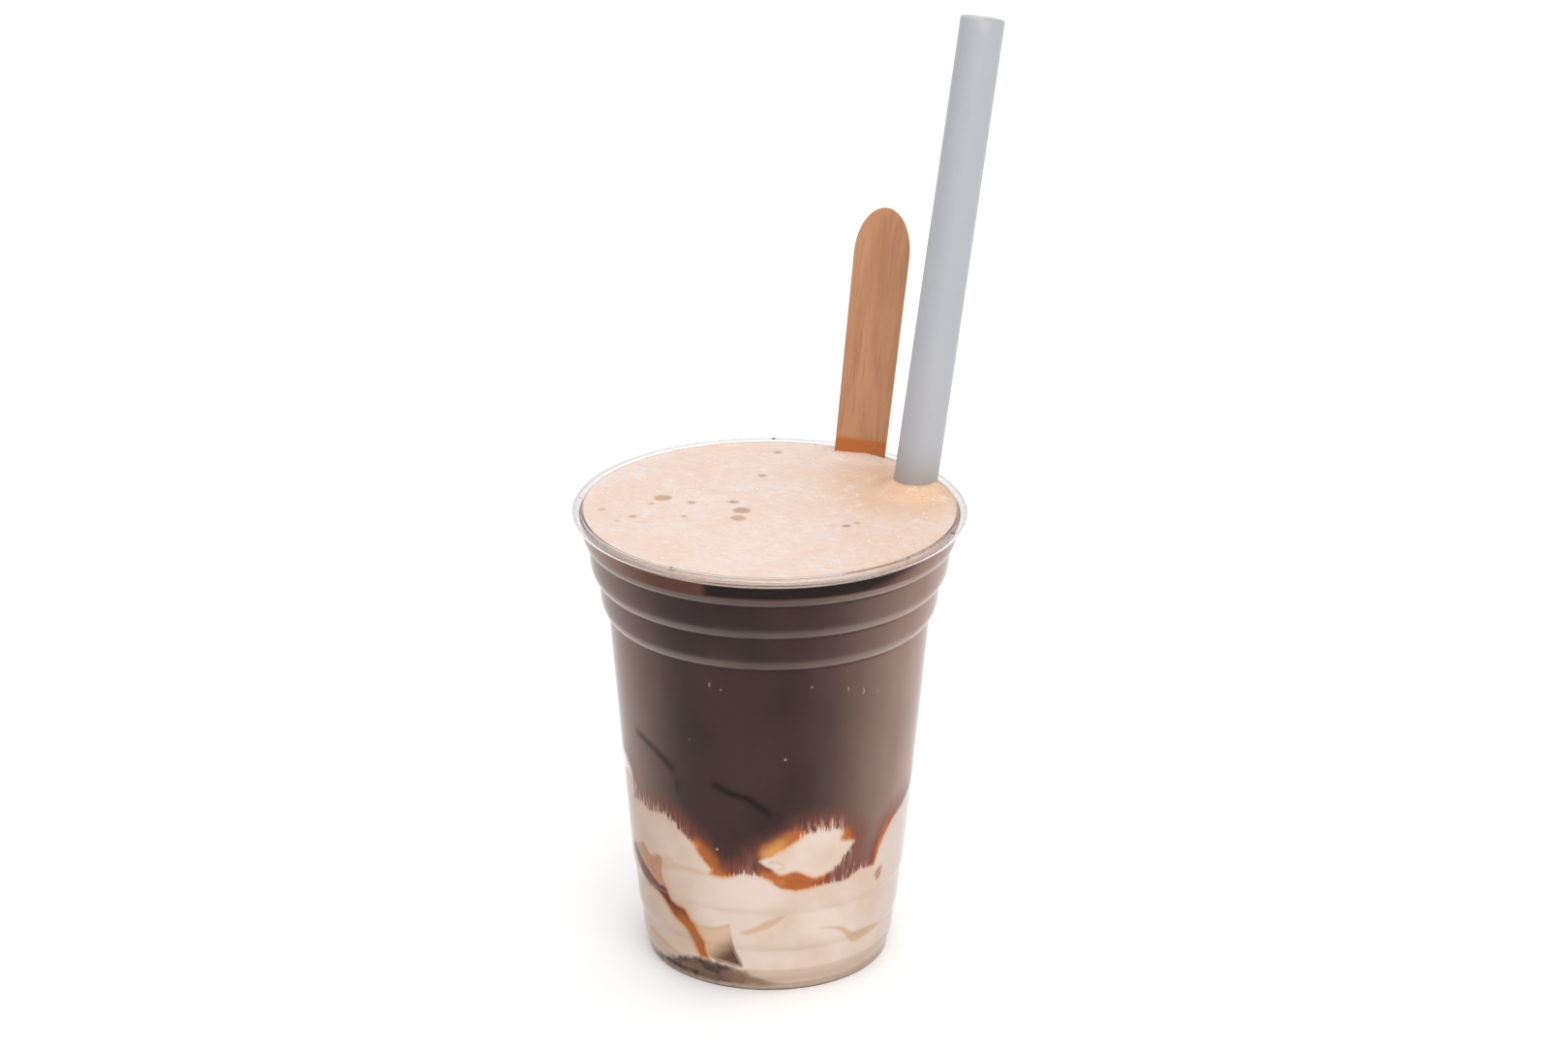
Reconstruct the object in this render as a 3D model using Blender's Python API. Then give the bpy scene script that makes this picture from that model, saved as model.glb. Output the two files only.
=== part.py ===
# Affogato in a clear plastic cup: ice cream at the foot, coffee above it and a cap of foam on top,
# with a wide straw and a flat wooden stirring stick standing in it.
# Units are metres and +Z is up. The origin is the middle of the cup's underside, and the front faces -Y.

import math

import bmesh
import bpy
from mathutils import Matrix, Vector

MM = 0.001
GAP = 0.3 * MM  # clearance between neighbouring solids

# The cup's wall: a cone that widens a little above each ledge.
SEGMENTS = 48
WALL = 0.4 * MM
WALL_FOOT_RADIUS = 30.32 * MM
WALL_TAPER = 0.0871
LEDGES = (  # height, height of the roll above it, step outwards
    (3.0 * MM, 4.5 * MM, 0.85 * MM),
    (12.0 * MM, 4.0 * MM, 0.57 * MM),
    (23.0 * MM, 3.0 * MM, 0.42 * MM),
    (89.8 * MM, 6.7 * MM, 1.60 * MM),
    (98.0 * MM, 7.5 * MM, 1.80 * MM),
    (107.3 * MM, 4.5 * MM, 1.20 * MM),
)
ROLL_POWER = 2.5  # how fast a band rolls in above its ledge
OUTER_ROLL_STEPS = (0.0, 0.2, 0.5, 1.0)
INNER_ROLL_STEPS = (0.0, 0.4, 1.0)

# The cup's rim and foot.
RIM_RADIUS = 49.0 * MM
RIM_TOP = 118.7 * MM
BEAD_WIDTH = 2.6 * MM
BEAD_HEIGHT = 2.4 * MM
BEAD_STEPS = 9
BEAD_START = math.radians(232)  # where the wall runs into the bead, from its inner side
BEAD_END = math.radians(517)
HEEL_RADIUS = 0.9 * MM
FOOT_RING_INNER_RADIUS = 27.6 * MM
FOOT_RING_SLOPE = 0.8 * MM
PANEL_HEIGHT = 0.8 * MM  # the underside is recessed this far inside the foot ring
FLOOR_TOP = 1.4 * MM
FLOOR_CORNER = 1.0 * MM

# What the cup holds, by height.
COFFEE_TOP = 115.9 * MM
FOAM_BOTTOM = 116.2 * MM
FOAM_TOP = 117.7 * MM
FOAM_RINGS = (0.25, 0.45, 0.6, 0.7, 0.79, 0.87, 0.94, 1.0)

# Ice cream: scoops pressed flat against the wall, over a core in the middle of the cup.
ICE_TOP = 56.0 * MM
ICE_CORE_RADIUS = 18.0 * MM
ICE_SHOULDER_RADIUS = 50.0 * MM
ICE_SHOULDER_POWER = 8
ICE_FRONT_SIDES = 44  # finer over the front half, where coffee has run down between the scoops
ICE_BACK_SIDES = 20
ICE_LEVEL_STEP = 2.0 * MM
ICE_FINE_TOP = 50.0 * MM
ICE_CROWN_LEVELS = (52.4 * MM, 54.4 * MM, 55.7 * MM)
SCOOP_BALL_RADIUS = 22.0 * MM
SCOOPS = (  # angle round the cup, height, half width, half height, tilt, squareness
    (math.radians(-4), 11.0 * MM, 33.0 * MM, 21.6 * MM, math.radians(0), 5.0),
    (math.radians(-50), 38.6 * MM, 16.0 * MM, 6.3 * MM, math.radians(-6), 2.6),
    (math.radians(-71), 44.0 * MM, 3.6 * MM, 7.2 * MM, math.radians(0), 2.0),
    (math.radians(78), 30.0 * MM, 17.0 * MM, 14.2 * MM, math.radians(0), 3.0),
    (math.radians(17.5), 40.9 * MM, 12.3 * MM, 6.4 * MM, math.radians(16), 2.2),
    (math.radians(-84), 16.0 * MM, 22.0 * MM, 13.6 * MM, math.radians(8), 3.0),
    (math.radians(62), 12.0 * MM, 22.0 * MM, 18.6 * MM, math.radians(0), 4.0),
    (math.radians(122), 18.0 * MM, 22.0 * MM, 19.0 * MM, math.radians(-10), 3.0),
    (math.radians(176), 21.0 * MM, 21.0 * MM, 22.5 * MM, math.radians(6), 3.0),
    (math.radians(-128), 18.0 * MM, 23.0 * MM, 19.0 * MM, math.radians(12), 3.0),
    (math.radians(-112), 43.0 * MM, 11.0 * MM, 6.0 * MM, math.radians(-14), 2.2),
)

# Coffee that has run in below the left scoop and down across the front one, in degrees and millimetres,
# and the pool that it makes at the foot.
STREAK = ((-16, 36), (-30, 33), (-46, 32), (-62, 31), (-58, 27), (-46, 21.5), (-34, 15), (-26, 8))
STREAK_HALF_WIDTH = 3.2 * MM
STREAK_DEPTH = 2.6 * MM
POOL = ((-55, 4.4), (-38, 6.0), (-20, 7.0))
POOL_HALF_WIDTH = 3.6 * MM
POOL_DEPTH = 2.6 * MM

# Straw: a straight tube that leans to the right and back, against the lowest of the three top ledges.
STRAW_AT_FOAM = Vector((36.05, 14.0, 117.7)) * MM
STRAW_LEAN = Vector((0.1325, 0.158, 1.0))
STRAW_RADIUS = 5.5 * MM
STRAW_WALL = 0.4 * MM
STRAW_TOP = 234.3 * MM
STRAW_FOOT = 2.9 * MM
STRAW_SIDES = 32

# Stick: flat birch, wider at its upper end, both ends rounded.
STICK_AT_FOAM = Vector((22.6, 36.2, 117.7)) * MM
STICK_LEAN = Vector((0.104, 0.240, 1.0))
STICK_TURN = math.radians(-12)  # its broad face looks a little to the left
STICK_LENGTH = 160.0 * MM
STICK_ABOVE_FOAM = 64.1 * MM
STICK_TOP_WIDTH = 14.2 * MM
STICK_FOOT_WIDTH = 11.0 * MM
STICK_THICKNESS = 1.8 * MM
STICK_END_LENGTH = 12.0 * MM
STICK_END_STEPS = 7
STICK_EDGE = 0.25 * MM

# Foam rises where it clings to the straw and the stick.
STRAW_RISE = 3.0 * MM
STICK_RISE = 1.6 * MM
RISE_REACH = 5.5 * MM


def clear_scene():
    for obj in list(bpy.data.objects):
        bpy.data.objects.remove(obj, do_unlink=True)


def material(name, color, roughness, transmission=0.0, ior=1.45):
    made = bpy.data.materials.new(name)
    made.use_nodes = True
    shader = made.node_tree.nodes["Principled BSDF"]
    shader.inputs["Base Color"].default_value = (*color, 1.0)
    shader.inputs["Roughness"].default_value = roughness
    shader.inputs["Metallic"].default_value = 0.0
    shader.inputs["Transmission Weight"].default_value = transmission
    shader.inputs["IOR"].default_value = ior
    made.diffuse_color = (*color, 1.0)
    return made


def add_object(name, bm, finish=None):
    bmesh.ops.recalc_face_normals(bm, faces=bm.faces)
    mesh = bpy.data.meshes.new(name)
    bm.to_mesh(mesh)
    bm.free()
    obj = bpy.data.objects.new(name, mesh)
    bpy.context.scene.collection.objects.link(obj)
    if finish:
        mesh.materials.append(finish)
        mesh.shade_smooth()
        mesh.set_sharp_from_angle(angle=math.radians(40))
    return obj


def skin(name, rings, finish=None, closed=False):
    """A surface through rings of equally many points. A ring of one point closes an end."""
    bm = bmesh.new()
    loops = [[bm.verts.new(point) for point in ring] for ring in rings]
    pairs = list(zip(loops, loops[1:]))
    if closed:
        pairs.append((loops[-1], loops[0]))
    for lower, upper in pairs:
        count = max(len(lower), len(upper))
        for k in range(count):
            n = (k + 1) % count
            if len(lower) == 1:
                bm.faces.new((lower[0], upper[k], upper[n]))
            elif len(upper) == 1:
                bm.faces.new((lower[k], lower[n], upper[0]))
            else:
                bm.faces.new((lower[k], lower[n], upper[n], upper[k]))
    return add_object(name, bm, finish)


def ring(radius, height, sides=SEGMENTS):
    """One level of a turned shape. On the axis it is a single point."""
    if radius == 0:
        return [Vector((0, 0, height))]
    turns = [2 * math.pi * k / sides for k in range(sides)]
    return [Vector((radius * math.sin(a), -radius * math.cos(a), height)) for a in turns]


def turned(name, profile, finish=None):
    return skin(name, [ring(radius, height) for radius, height in profile], finish)


def cut(obj, cutters):
    for cutter in cutters:
        modifier = obj.modifiers.new("cut by " + cutter.name, "BOOLEAN")
        modifier.operation = "DIFFERENCE"
        modifier.solver = "EXACT"
        modifier.object = cutter
        cutter.hide_render = True
        cutter.display_type = "WIRE"


def keep_largest_body(obj):
    """Applies the object's cuts and drops loose scraps that they leave."""
    graph = bpy.context.evaluated_depsgraph_get()
    mesh = bpy.data.meshes.new_from_object(obj.evaluated_get(graph))
    bm = bmesh.new()
    bm.from_mesh(mesh)
    waiting = set(bm.verts)
    bodies = []
    while waiting:
        front = [waiting.pop()]
        body = set(front)
        while front:
            vert = front.pop()
            near = {edge.other_vert(vert) for edge in vert.link_edges} & waiting
            waiting -= near
            body |= near
            front += near
        bodies.append(body)
    largest = max(bodies, key=len)
    loose = [vert for vert in bm.verts if vert not in largest]
    bmesh.ops.delete(bm, geom=loose, context="VERTS")
    bm.to_mesh(mesh)
    bm.free()
    obj.modifiers.clear()
    obj.data = mesh


# The cup.


def wall_radius(height):
    """Outer radius of the cup's wall."""
    radius = WALL_FOOT_RADIUS + WALL_TAPER * height
    for ledge, roll, step in LEDGES:
        part = min(max((height - ledge) / roll, 0.0), 1.0)
        radius += step * (1 - (1 - part) ** ROLL_POWER)
    return radius


def inner_radius(height):
    return wall_radius(height) - WALL


def roll_heights(steps):
    return [ledge + roll * part for ledge, roll, step in LEDGES for part in steps]


def bead_point(angle):
    return (
        RIM_RADIUS - BEAD_WIDTH / 2 + BEAD_WIDTH / 2 * math.cos(angle),
        RIM_TOP - BEAD_HEIGHT / 2 + BEAD_HEIGHT / 2 * math.sin(angle),
    )


def inner_profile(top, inset=0.0, floor=FLOOR_TOP):
    """From the axis at the floor, out to the corner and up the inside of the wall."""
    corner = inner_radius(floor + FLOOR_CORNER) - inset
    points = [(0.0, floor), (corner - FLOOR_CORNER, floor), (corner, floor + FLOOR_CORNER)]
    heights = [h for h in roll_heights(INNER_ROLL_STEPS) if floor + FLOOR_CORNER < h < top]
    return points + [(inner_radius(h) - inset, h) for h in heights]


def cup_profile():
    heel = wall_radius(HEEL_RADIUS)
    foot = [
        (0.0, PANEL_HEIGHT),
        (FOOT_RING_INNER_RADIUS, PANEL_HEIGHT),
        (FOOT_RING_INNER_RADIUS + FOOT_RING_SLOPE, 0.0),
        (heel - HEEL_RADIUS, 0.0),
        (heel - HEEL_RADIUS * 0.3, HEEL_RADIUS * 0.3),
        (heel, HEEL_RADIUS),
    ]
    outside = [(wall_radius(h), h) for h in roll_heights(OUTER_ROLL_STEPS)]
    span = BEAD_END - BEAD_START
    bead = [bead_point(BEAD_START + span * k / BEAD_STEPS) for k in range(BEAD_STEPS + 1)]
    inside = inner_profile(RIM_TOP)
    return foot + outside + bead + inside[::-1]


# The ice cream and the coffee round it.


def offset_on_wall(angle, height, to_angle, to_height):
    """Steps along the wall and up it, from one place on the wall to another."""
    turn = (to_angle - angle + math.pi) % (2 * math.pi) - math.pi
    return turn * inner_radius(height), to_height - height


def scoop_depth(scoop, angle, height):
    """How far a scoop's surface lies behind the wall: nothing where it is pressed against it."""
    scoop_angle, scoop_height, half_width, half_height, tilt, squareness = scoop
    along, up = offset_on_wall(scoop_angle, scoop_height, angle, height)
    u = abs(along * math.cos(tilt) + up * math.sin(tilt)) / half_width
    v = abs(up * math.cos(tilt) - along * math.sin(tilt)) / half_height
    reach = (u**squareness + v**squareness) ** (1 / squareness)
    fall = half_height**2 / (2 * SCOOP_BALL_RADIUS)
    return fall * max(reach * reach - 1, 0.0)


def groove_depth(path, half_width, depth, angle, height):
    """Depth of a groove in the ice cream that follows a path on the wall."""
    nearest = half_width
    for (start_turn, start), (end_turn, end) in zip(path, path[1:]):
        run = Vector(offset_on_wall(math.radians(start_turn), start * MM, math.radians(end_turn), end * MM))
        way = Vector(offset_on_wall(math.radians(start_turn), start * MM, angle, height))
        part = min(max(way.dot(run) / run.dot(run), 0.0), 1.0)
        nearest = min(nearest, (way - run * part).length)
    return depth * (1 - (nearest / half_width) ** 2)


def film_depth(angle, height):
    """Thickness of the coffee between the cup's wall and the ice cream."""
    depth = min(scoop_depth(scoop, angle, height) for scoop in SCOOPS)
    streak = groove_depth(STREAK, STREAK_HALF_WIDTH, STREAK_DEPTH, angle, height)
    pool = groove_depth(POOL, POOL_HALF_WIDTH, POOL_DEPTH, angle, height)
    return max(depth, streak, pool)


def ice_cream_radius(angle, height, grow):
    """The ice cream's outer radius, with the gap to the wall already taken off."""
    shoulder = 1 - (height / (ICE_TOP + grow)) ** ICE_SHOULDER_POWER
    dome = ICE_SHOULDER_RADIUS * math.sqrt(max(shoulder, 0.0))
    side = inner_radius(height) - GAP - film_depth(angle, height)
    return min(max(side, ICE_CORE_RADIUS), dome) + grow


def ice_cream_angles():
    front = [-math.pi / 2 + math.pi * k / ICE_FRONT_SIDES for k in range(ICE_FRONT_SIDES)]
    back = [math.pi / 2 + math.pi * k / ICE_BACK_SIDES for k in range(ICE_BACK_SIDES)]
    return front + back


def ice_cream_rings(bottom, grow=0.0):
    rings = [[Vector((0, 0, bottom))]]
    steps = round((ICE_FINE_TOP - bottom) / ICE_LEVEL_STEP)
    levels = [bottom + (ICE_FINE_TOP - bottom) * k / steps for k in range(steps + 1)]
    for height in levels + list(ICE_CROWN_LEVELS):
        circle = []
        for angle in ice_cream_angles():
            radius = ice_cream_radius(angle, max(height, FLOOR_TOP + FLOOR_CORNER), grow)
            corner = max(FLOOR_TOP + FLOOR_CORNER - height, 0.0)
            radius -= corner if not grow else 0.0
            circle.append(Vector((radius * math.sin(angle), -radius * math.cos(angle), height)))
        rings.append(circle)
    rings.append([Vector((0, 0, ICE_TOP + 2 * grow))])
    return rings


# The foam.


def rise_round(place, centre, rise, half_size):
    """Height of the foam's collar at a place, by its distance from the thing that stands there."""
    away = max((place - centre).length - half_size, 0.0)
    return rise * math.exp(-((away / RISE_REACH) ** 2) * 3)


def foam_height(x, y):
    place = Vector((x, y))
    height = FOAM_TOP
    height += rise_round(place, STRAW_AT_FOAM.to_2d(), STRAW_RISE, STRAW_RADIUS)
    height += rise_round(place, STICK_AT_FOAM.to_2d(), STICK_RISE, STICK_THICKNESS)
    return height


def foam_rings():
    edge = RIM_RADIUS - BEAD_WIDTH - GAP
    rings = [ring(0, FOAM_BOTTOM), ring(edge, FOAM_BOTTOM)]
    for part in reversed(FOAM_RINGS):
        circle = ring(edge * part, FOAM_TOP)
        for point in circle:
            wall_fade = min(max((edge - point.to_2d().length) / (edge * 0.1), 0.0), 1.0)
            point.z += (foam_height(point.x, point.y) - FOAM_TOP) * wall_fade
        rings.append(circle)
    rings.append(ring(0, FOAM_TOP))
    return rings


# The straw and the stick.


def straw_rings(radius, foot, top, sides=STRAW_SIDES):
    """Circles square to the straw's axis at its foot and its top."""
    axis = STRAW_LEAN.normalized()
    across = axis.cross(Vector((0, 1, 0))).normalized()
    beyond = axis.cross(across)
    rings = []
    for height in (foot, top):
        centre = STRAW_AT_FOAM + STRAW_LEAN * (height - STRAW_AT_FOAM.z)
        turns = [2 * math.pi * k / sides for k in range(sides)]
        rings.append([centre + radius * (math.cos(a) * across + math.sin(a) * beyond) for a in turns])
    return rings


def straw_cutter():
    foot, top = straw_rings(STRAW_RADIUS + GAP, STRAW_FOOT - 4 * MM, STRAW_TOP)
    foot_centre = sum(foot, Vector()) / len(foot)
    top_centre = sum(top, Vector()) / len(top)
    return skin("straw space", [[foot_centre], foot, top, [top_centre]])


def add_straw(finish):
    outer_foot, outer_top = straw_rings(STRAW_RADIUS, STRAW_FOOT, STRAW_TOP)
    inner_foot, inner_top = straw_rings(STRAW_RADIUS - STRAW_WALL, STRAW_FOOT, STRAW_TOP)
    return skin("straw", [outer_foot, outer_top, inner_top, inner_foot], finish, closed=True)


def stick_frame():
    """Maps the stick's own axes, X across and Z along, into the cup. Its origin is the upper tip."""
    along = STICK_LEAN.normalized()
    across = Vector((math.cos(STICK_TURN), math.sin(STICK_TURN), 0))
    across = (across - along * across.dot(along)).normalized()
    tip = STICK_AT_FOAM + along * STICK_ABOVE_FOAM
    frame = Matrix((across, along.cross(across), along)).transposed().to_4x4()
    frame.translation = tip
    return frame


def stick_outline(grow):
    """One side from the foot to the tip, then its mirror image back down."""
    side = []
    for end in (-1, 1):
        width = STICK_FOOT_WIDTH if end < 0 else STICK_TOP_WIDTH
        shoulder = -STICK_LENGTH + STICK_END_LENGTH if end < 0 else -STICK_END_LENGTH
        turns = [math.pi / 2 * k / STICK_END_STEPS for k in range(STICK_END_STEPS)]
        arc = [
            ((width / 2 + grow) * math.cos(a), shoulder + end * (STICK_END_LENGTH + grow) * math.sin(a))
            for a in turns
        ]
        side += arc[::-1] if end < 0 else arc
    foot = (0.0, -STICK_LENGTH - grow)
    tip = (0.0, grow)
    mirrored = [(-x, z) for x, z in reversed(side)]
    return [foot] + side + [tip] + mirrored


def add_stick(name, finish=None, grow=0.0):
    bm = bmesh.new()
    half = STICK_THICKNESS / 2 + grow
    face = bm.faces.new([bm.verts.new((x, -half, z)) for x, z in stick_outline(grow)])
    made = bmesh.ops.extrude_face_region(bm, geom=[face])
    moved = [item for item in made["geom"] if isinstance(item, bmesh.types.BMVert)]
    bmesh.ops.translate(bm, vec=(0, 2 * half, 0), verts=moved)
    bmesh.ops.transform(bm, matrix=stick_frame(), verts=bm.verts)
    obj = add_object(name, bm, finish)
    if finish:
        bevel = obj.modifiers.new("rounded edges", "BEVEL")
        bevel.width = STICK_EDGE
        bevel.segments = 1
        bevel.limit_method = "ANGLE"
        bevel.angle_limit = math.radians(50)
    return obj


def main():
    clear_scene()
    plastic = material("clear plastic", (0.94, 0.94, 0.95), 0.03, transmission=1.0, ior=1.5)
    cream = material("vanilla ice cream", (0.72, 0.55, 0.40), 0.55)
    coffee_brown = material("dark coffee", (0.035, 0.018, 0.012), 0.12)
    crema = material("coffee foam", (0.82, 0.62, 0.50), 0.5)
    straw_plastic = material("pale blue-grey plastic", (0.50, 0.56, 0.60), 0.45)
    birch = material("birch wood", (0.52, 0.27, 0.13), 0.6)

    turned("cup", cup_profile(), plastic)
    add_straw(straw_plastic)
    add_stick("stick", birch)

    spaces = [straw_cutter(), add_stick("stick space", grow=GAP)]
    ice_cream = skin("ice_cream", ice_cream_rings(FLOOR_TOP + GAP), cream)
    cut(ice_cream, spaces)

    floor = FLOOR_TOP + GAP
    body = inner_profile(COFFEE_TOP, GAP, floor)
    body += [(inner_radius(COFFEE_TOP) - GAP, COFFEE_TOP), (0.0, COFFEE_TOP)]
    coffee = turned("coffee", body, coffee_brown)
    ice_space = skin("ice cream space", ice_cream_rings(FLOOR_TOP - 1 * MM, 2 * GAP))
    cut(coffee, [ice_space] + spaces)
    keep_largest_body(coffee)

    foam = skin("foam", foam_rings(), crema)
    cut(foam, spaces)


main()
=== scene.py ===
# Affogato in a clear ribbed cup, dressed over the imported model.
# Metres and +Z up in the scene. Sizes below are in millimetres and angles in degrees round the cup,
# 0 at the front (-Y) and growing towards the right (+X).
import math

import bmesh
import bpy
import numpy as np
from mathutils import Matrix, Vector, noise


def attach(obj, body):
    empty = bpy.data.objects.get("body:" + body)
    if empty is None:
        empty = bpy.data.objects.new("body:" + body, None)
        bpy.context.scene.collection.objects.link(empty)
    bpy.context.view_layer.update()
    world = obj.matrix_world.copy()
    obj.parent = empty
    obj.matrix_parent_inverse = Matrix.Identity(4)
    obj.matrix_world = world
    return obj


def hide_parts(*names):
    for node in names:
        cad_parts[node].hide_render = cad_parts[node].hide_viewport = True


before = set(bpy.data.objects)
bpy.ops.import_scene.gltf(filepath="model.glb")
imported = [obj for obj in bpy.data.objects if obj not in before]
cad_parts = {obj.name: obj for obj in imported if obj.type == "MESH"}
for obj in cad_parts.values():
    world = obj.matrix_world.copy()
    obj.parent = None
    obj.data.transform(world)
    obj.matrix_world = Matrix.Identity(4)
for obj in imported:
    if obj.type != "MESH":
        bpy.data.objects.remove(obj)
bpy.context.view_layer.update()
print("frame loaded:", ", ".join(sorted(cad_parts)))

mm = 0.001
body = "root"


# Colours and node helpers

def toLinear(red, green, blue):
    # a colour as it shows on screen, 0 to 255, as a shader wants it
    def channel(value):
        value /= 255
        return value / 12.92 if value <= 0.04045 else ((value + 0.055) / 1.055) ** 2.4
    return (channel(red), channel(green), channel(blue), 1.0)


def feed(tree, socket, value):
    # a socket takes another node's output or a constant
    if isinstance(value, bpy.types.NodeSocket):
        tree.links.new(value, socket)
    else:
        socket.default_value = value


def addNode(tree, kind, inputs=None, **settings):
    node = tree.nodes.new(kind)
    for key, value in settings.items():
        setattr(node, key, value)
    for key, value in (inputs or {}).items():
        feed(tree, node.inputs[key], value)
    return node


def calc(tree, operation, first, second=0.0, clamp=False):
    node = addNode(tree, "ShaderNodeMath", {0: first, 1: second}, operation=operation, use_clamp=clamp)
    return node.outputs[0]


def plus(tree, first, second):
    return calc(tree, "ADD", first, second)


def minus(tree, first, second):
    return calc(tree, "SUBTRACT", first, second)


def times(tree, first, second):
    return calc(tree, "MULTIPLY", first, second)


def ease(tree, value, low, high):
    # 0 at low, 1 at high, smooth between
    inputs = {"Value": value, "From Min": low, "From Max": high}
    return addNode(tree, "ShaderNodeMapRange", inputs, interpolation_type="SMOOTHSTEP").outputs["Result"]


def blend(tree, factor, below, above):
    node = addNode(tree, "ShaderNodeMix", data_type="RGBA")
    feed(tree, node.inputs[0], factor)
    feed(tree, node.inputs[6], below)
    feed(tree, node.inputs[7], above)
    return node.outputs[2]


def grain(tree, scale, stretch=(1, 1, 1), detail=2.0, roughness=0.5, shift=(0, 0, 0)):
    # noise in object coordinates, scale in bumps per metre
    place = addNode(tree, "ShaderNodeTexCoord").outputs["Object"]
    inputs = {"Vector": place, "Scale": stretch, "Location": shift}
    mapped = addNode(tree, "ShaderNodeMapping", inputs).outputs[0]
    inputs = {"Vector": mapped, "Scale": scale, "Detail": detail, "Roughness": roughness}
    return addNode(tree, "ShaderNodeTexNoise", inputs).outputs[0]


def objectPlace(tree):
    # x, y and z in object coordinates, in metres
    place = addNode(tree, "ShaderNodeTexCoord").outputs["Object"]
    return addNode(tree, "ShaderNodeSeparateXYZ", {0: place}).outputs


def field(tree, name):
    return addNode(tree, "ShaderNodeAttribute", attribute_name=name).outputs["Fac"]


def newMaterial(name):
    material = bpy.data.materials.new(name)
    material.use_nodes = True
    tree = material.node_tree
    return material, tree, tree.nodes["Principled BSDF"]


def newGroup(name, inputs, outputs):
    group = bpy.data.node_groups.new(name, "ShaderNodeTree")
    for label, kind, value in inputs:
        socket = group.interface.new_socket(label, in_out="INPUT", socket_type=kind)
        socket.default_value = value
    for label, kind in outputs:
        group.interface.new_socket(label, in_out="OUTPUT", socket_type=kind)
    return group, group.nodes.new("NodeGroupInput").outputs, group.nodes.new("NodeGroupOutput").inputs


def placeGroup(tree, group, inputs):
    node = tree.nodes.new("ShaderNodeGroup")
    node.node_tree = group
    for key, value in inputs.items():
        feed(tree, node.inputs[key], value)
    return node.outputs


# Mesh helpers

def newObject(name, mesh, material=None):
    obj = bpy.data.objects.new(name, mesh)
    bpy.context.scene.collection.objects.link(obj)
    if material:
        mesh.materials.append(material)
    return obj


def ringSurface(name, rings, material, lowPole=None, highPole=None):
    # rings of equally many points, in millimetres, that run up the outside; a pole closes an end
    rows, sides = rings.shape[:2]
    points = rings.reshape(-1, 3)
    row = np.arange(rows - 1)[:, None] * sides
    here = np.arange(sides)[None, :]
    after = (here + 1) % sides
    quads = np.stack([row + here, row + after, row + sides + after, row + sides + here], axis=2)
    faces = quads.reshape(-1, 4).tolist()
    points = points.tolist()
    if lowPole is not None:
        points.append(list(lowPole))
        faces += [(len(points) - 1, (k + 1) % sides, k) for k in range(sides)]
    if highPole is not None:
        points.append(list(highPole))
        top = (rows - 1) * sides
        faces += [(top + k, top + (k + 1) % sides, len(points) - 1) for k in range(sides)]
    mesh = bpy.data.meshes.new(name)
    mesh.from_pydata((np.array(points) * mm).tolist(), [], faces)
    mesh.shade_smooth()
    return newObject(name, mesh, material)


def setField(obj, name, values):
    # one number for each point of the rings, 0 at the poles
    attribute = obj.data.attributes.new(name, "FLOAT", "POINT")
    full = np.zeros(len(obj.data.vertices), np.float32)
    full[: values.size] = values.reshape(-1)
    attribute.data.foreach_set("value", full)


def turned(name, profile, sides, material):
    # the profile runs from the axis under the piece, up its outside and back to the axis
    turns = np.arange(sides) * 2 * math.pi / sides
    inner = profile[1:-1]
    radius = np.array([point[0] for point in inner])[:, None]
    height = np.array([point[1] for point in inner])[:, None]
    rings = np.stack([radius * np.sin(turns), -radius * np.cos(turns), height + 0 * turns], axis=2)
    return ringSurface(name, rings, material, (0, 0, profile[0][1]), (0, 0, profile[-1][1]))


def smoothStep(value, low, high):
    part = np.clip((value - low) / (high - low), 0, 1)
    return part * part * (3 - 2 * part)


# The cup

cup = {
    "wall": 0.4,
    "footRadius": 30.32,
    "taper": 0.0871,
    "ledges": (  # height, height of the roll above it, step outwards
        (3.0, 4.5, 0.85),
        (12.0, 4.0, 0.57),
        (23.0, 3.0, 0.42),
        (91.5, 5.6, 1.60),
        (100.6, 6.2, 1.80),
        (110.0, 3.8, 1.20),
    ),
    "rollPower": 3.0,
    "panelHeight": 0.8,
    "ringInner": 27.6,
    "ringSlope": 0.8,
    "heel": 0.9,
    "floorTop": 1.4,
    "floorCorner": 1.0,
    "rimRadius": 49.0,
    "rimTop": 118.7,
    "beadWidth": 2.6,
    "beadHeight": 2.4,
    "neckDrop": 1.9,  # from the middle of the rim's bead down to the wall's last level
    "rimSheet": 0.36,
    "levelStep": 3.0,
    "sides": 192,
}


def wallRadius(height):
    # outside of the wall
    radius = cup["footRadius"] + cup["taper"] * height
    for ledge, roll, step in cup["ledges"]:
        part = np.clip((height - ledge) / roll, 0, 1)
        radius = radius + step * (1 - (1 - part) ** cup["rollPower"])
    return radius


def wallHeights(low, high, step):
    # even levels, closer where a ledge rolls in
    levels = set(np.arange(low, high, step).tolist()) | {low, high}
    for ledge, roll, _ in cup["ledges"]:
        close = [ledge - 0.3] + [ledge + roll * part for part in (0, 0.04, 0.1, 0.18, 0.3, 0.45, 0.7, 1)]
        levels = {h for h in levels if not ledge - 0.5 < h < ledge + roll * 1.05 or h in (low, high)}
        levels |= {h for h in close if low <= h <= high}
    return sorted(levels)


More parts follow.
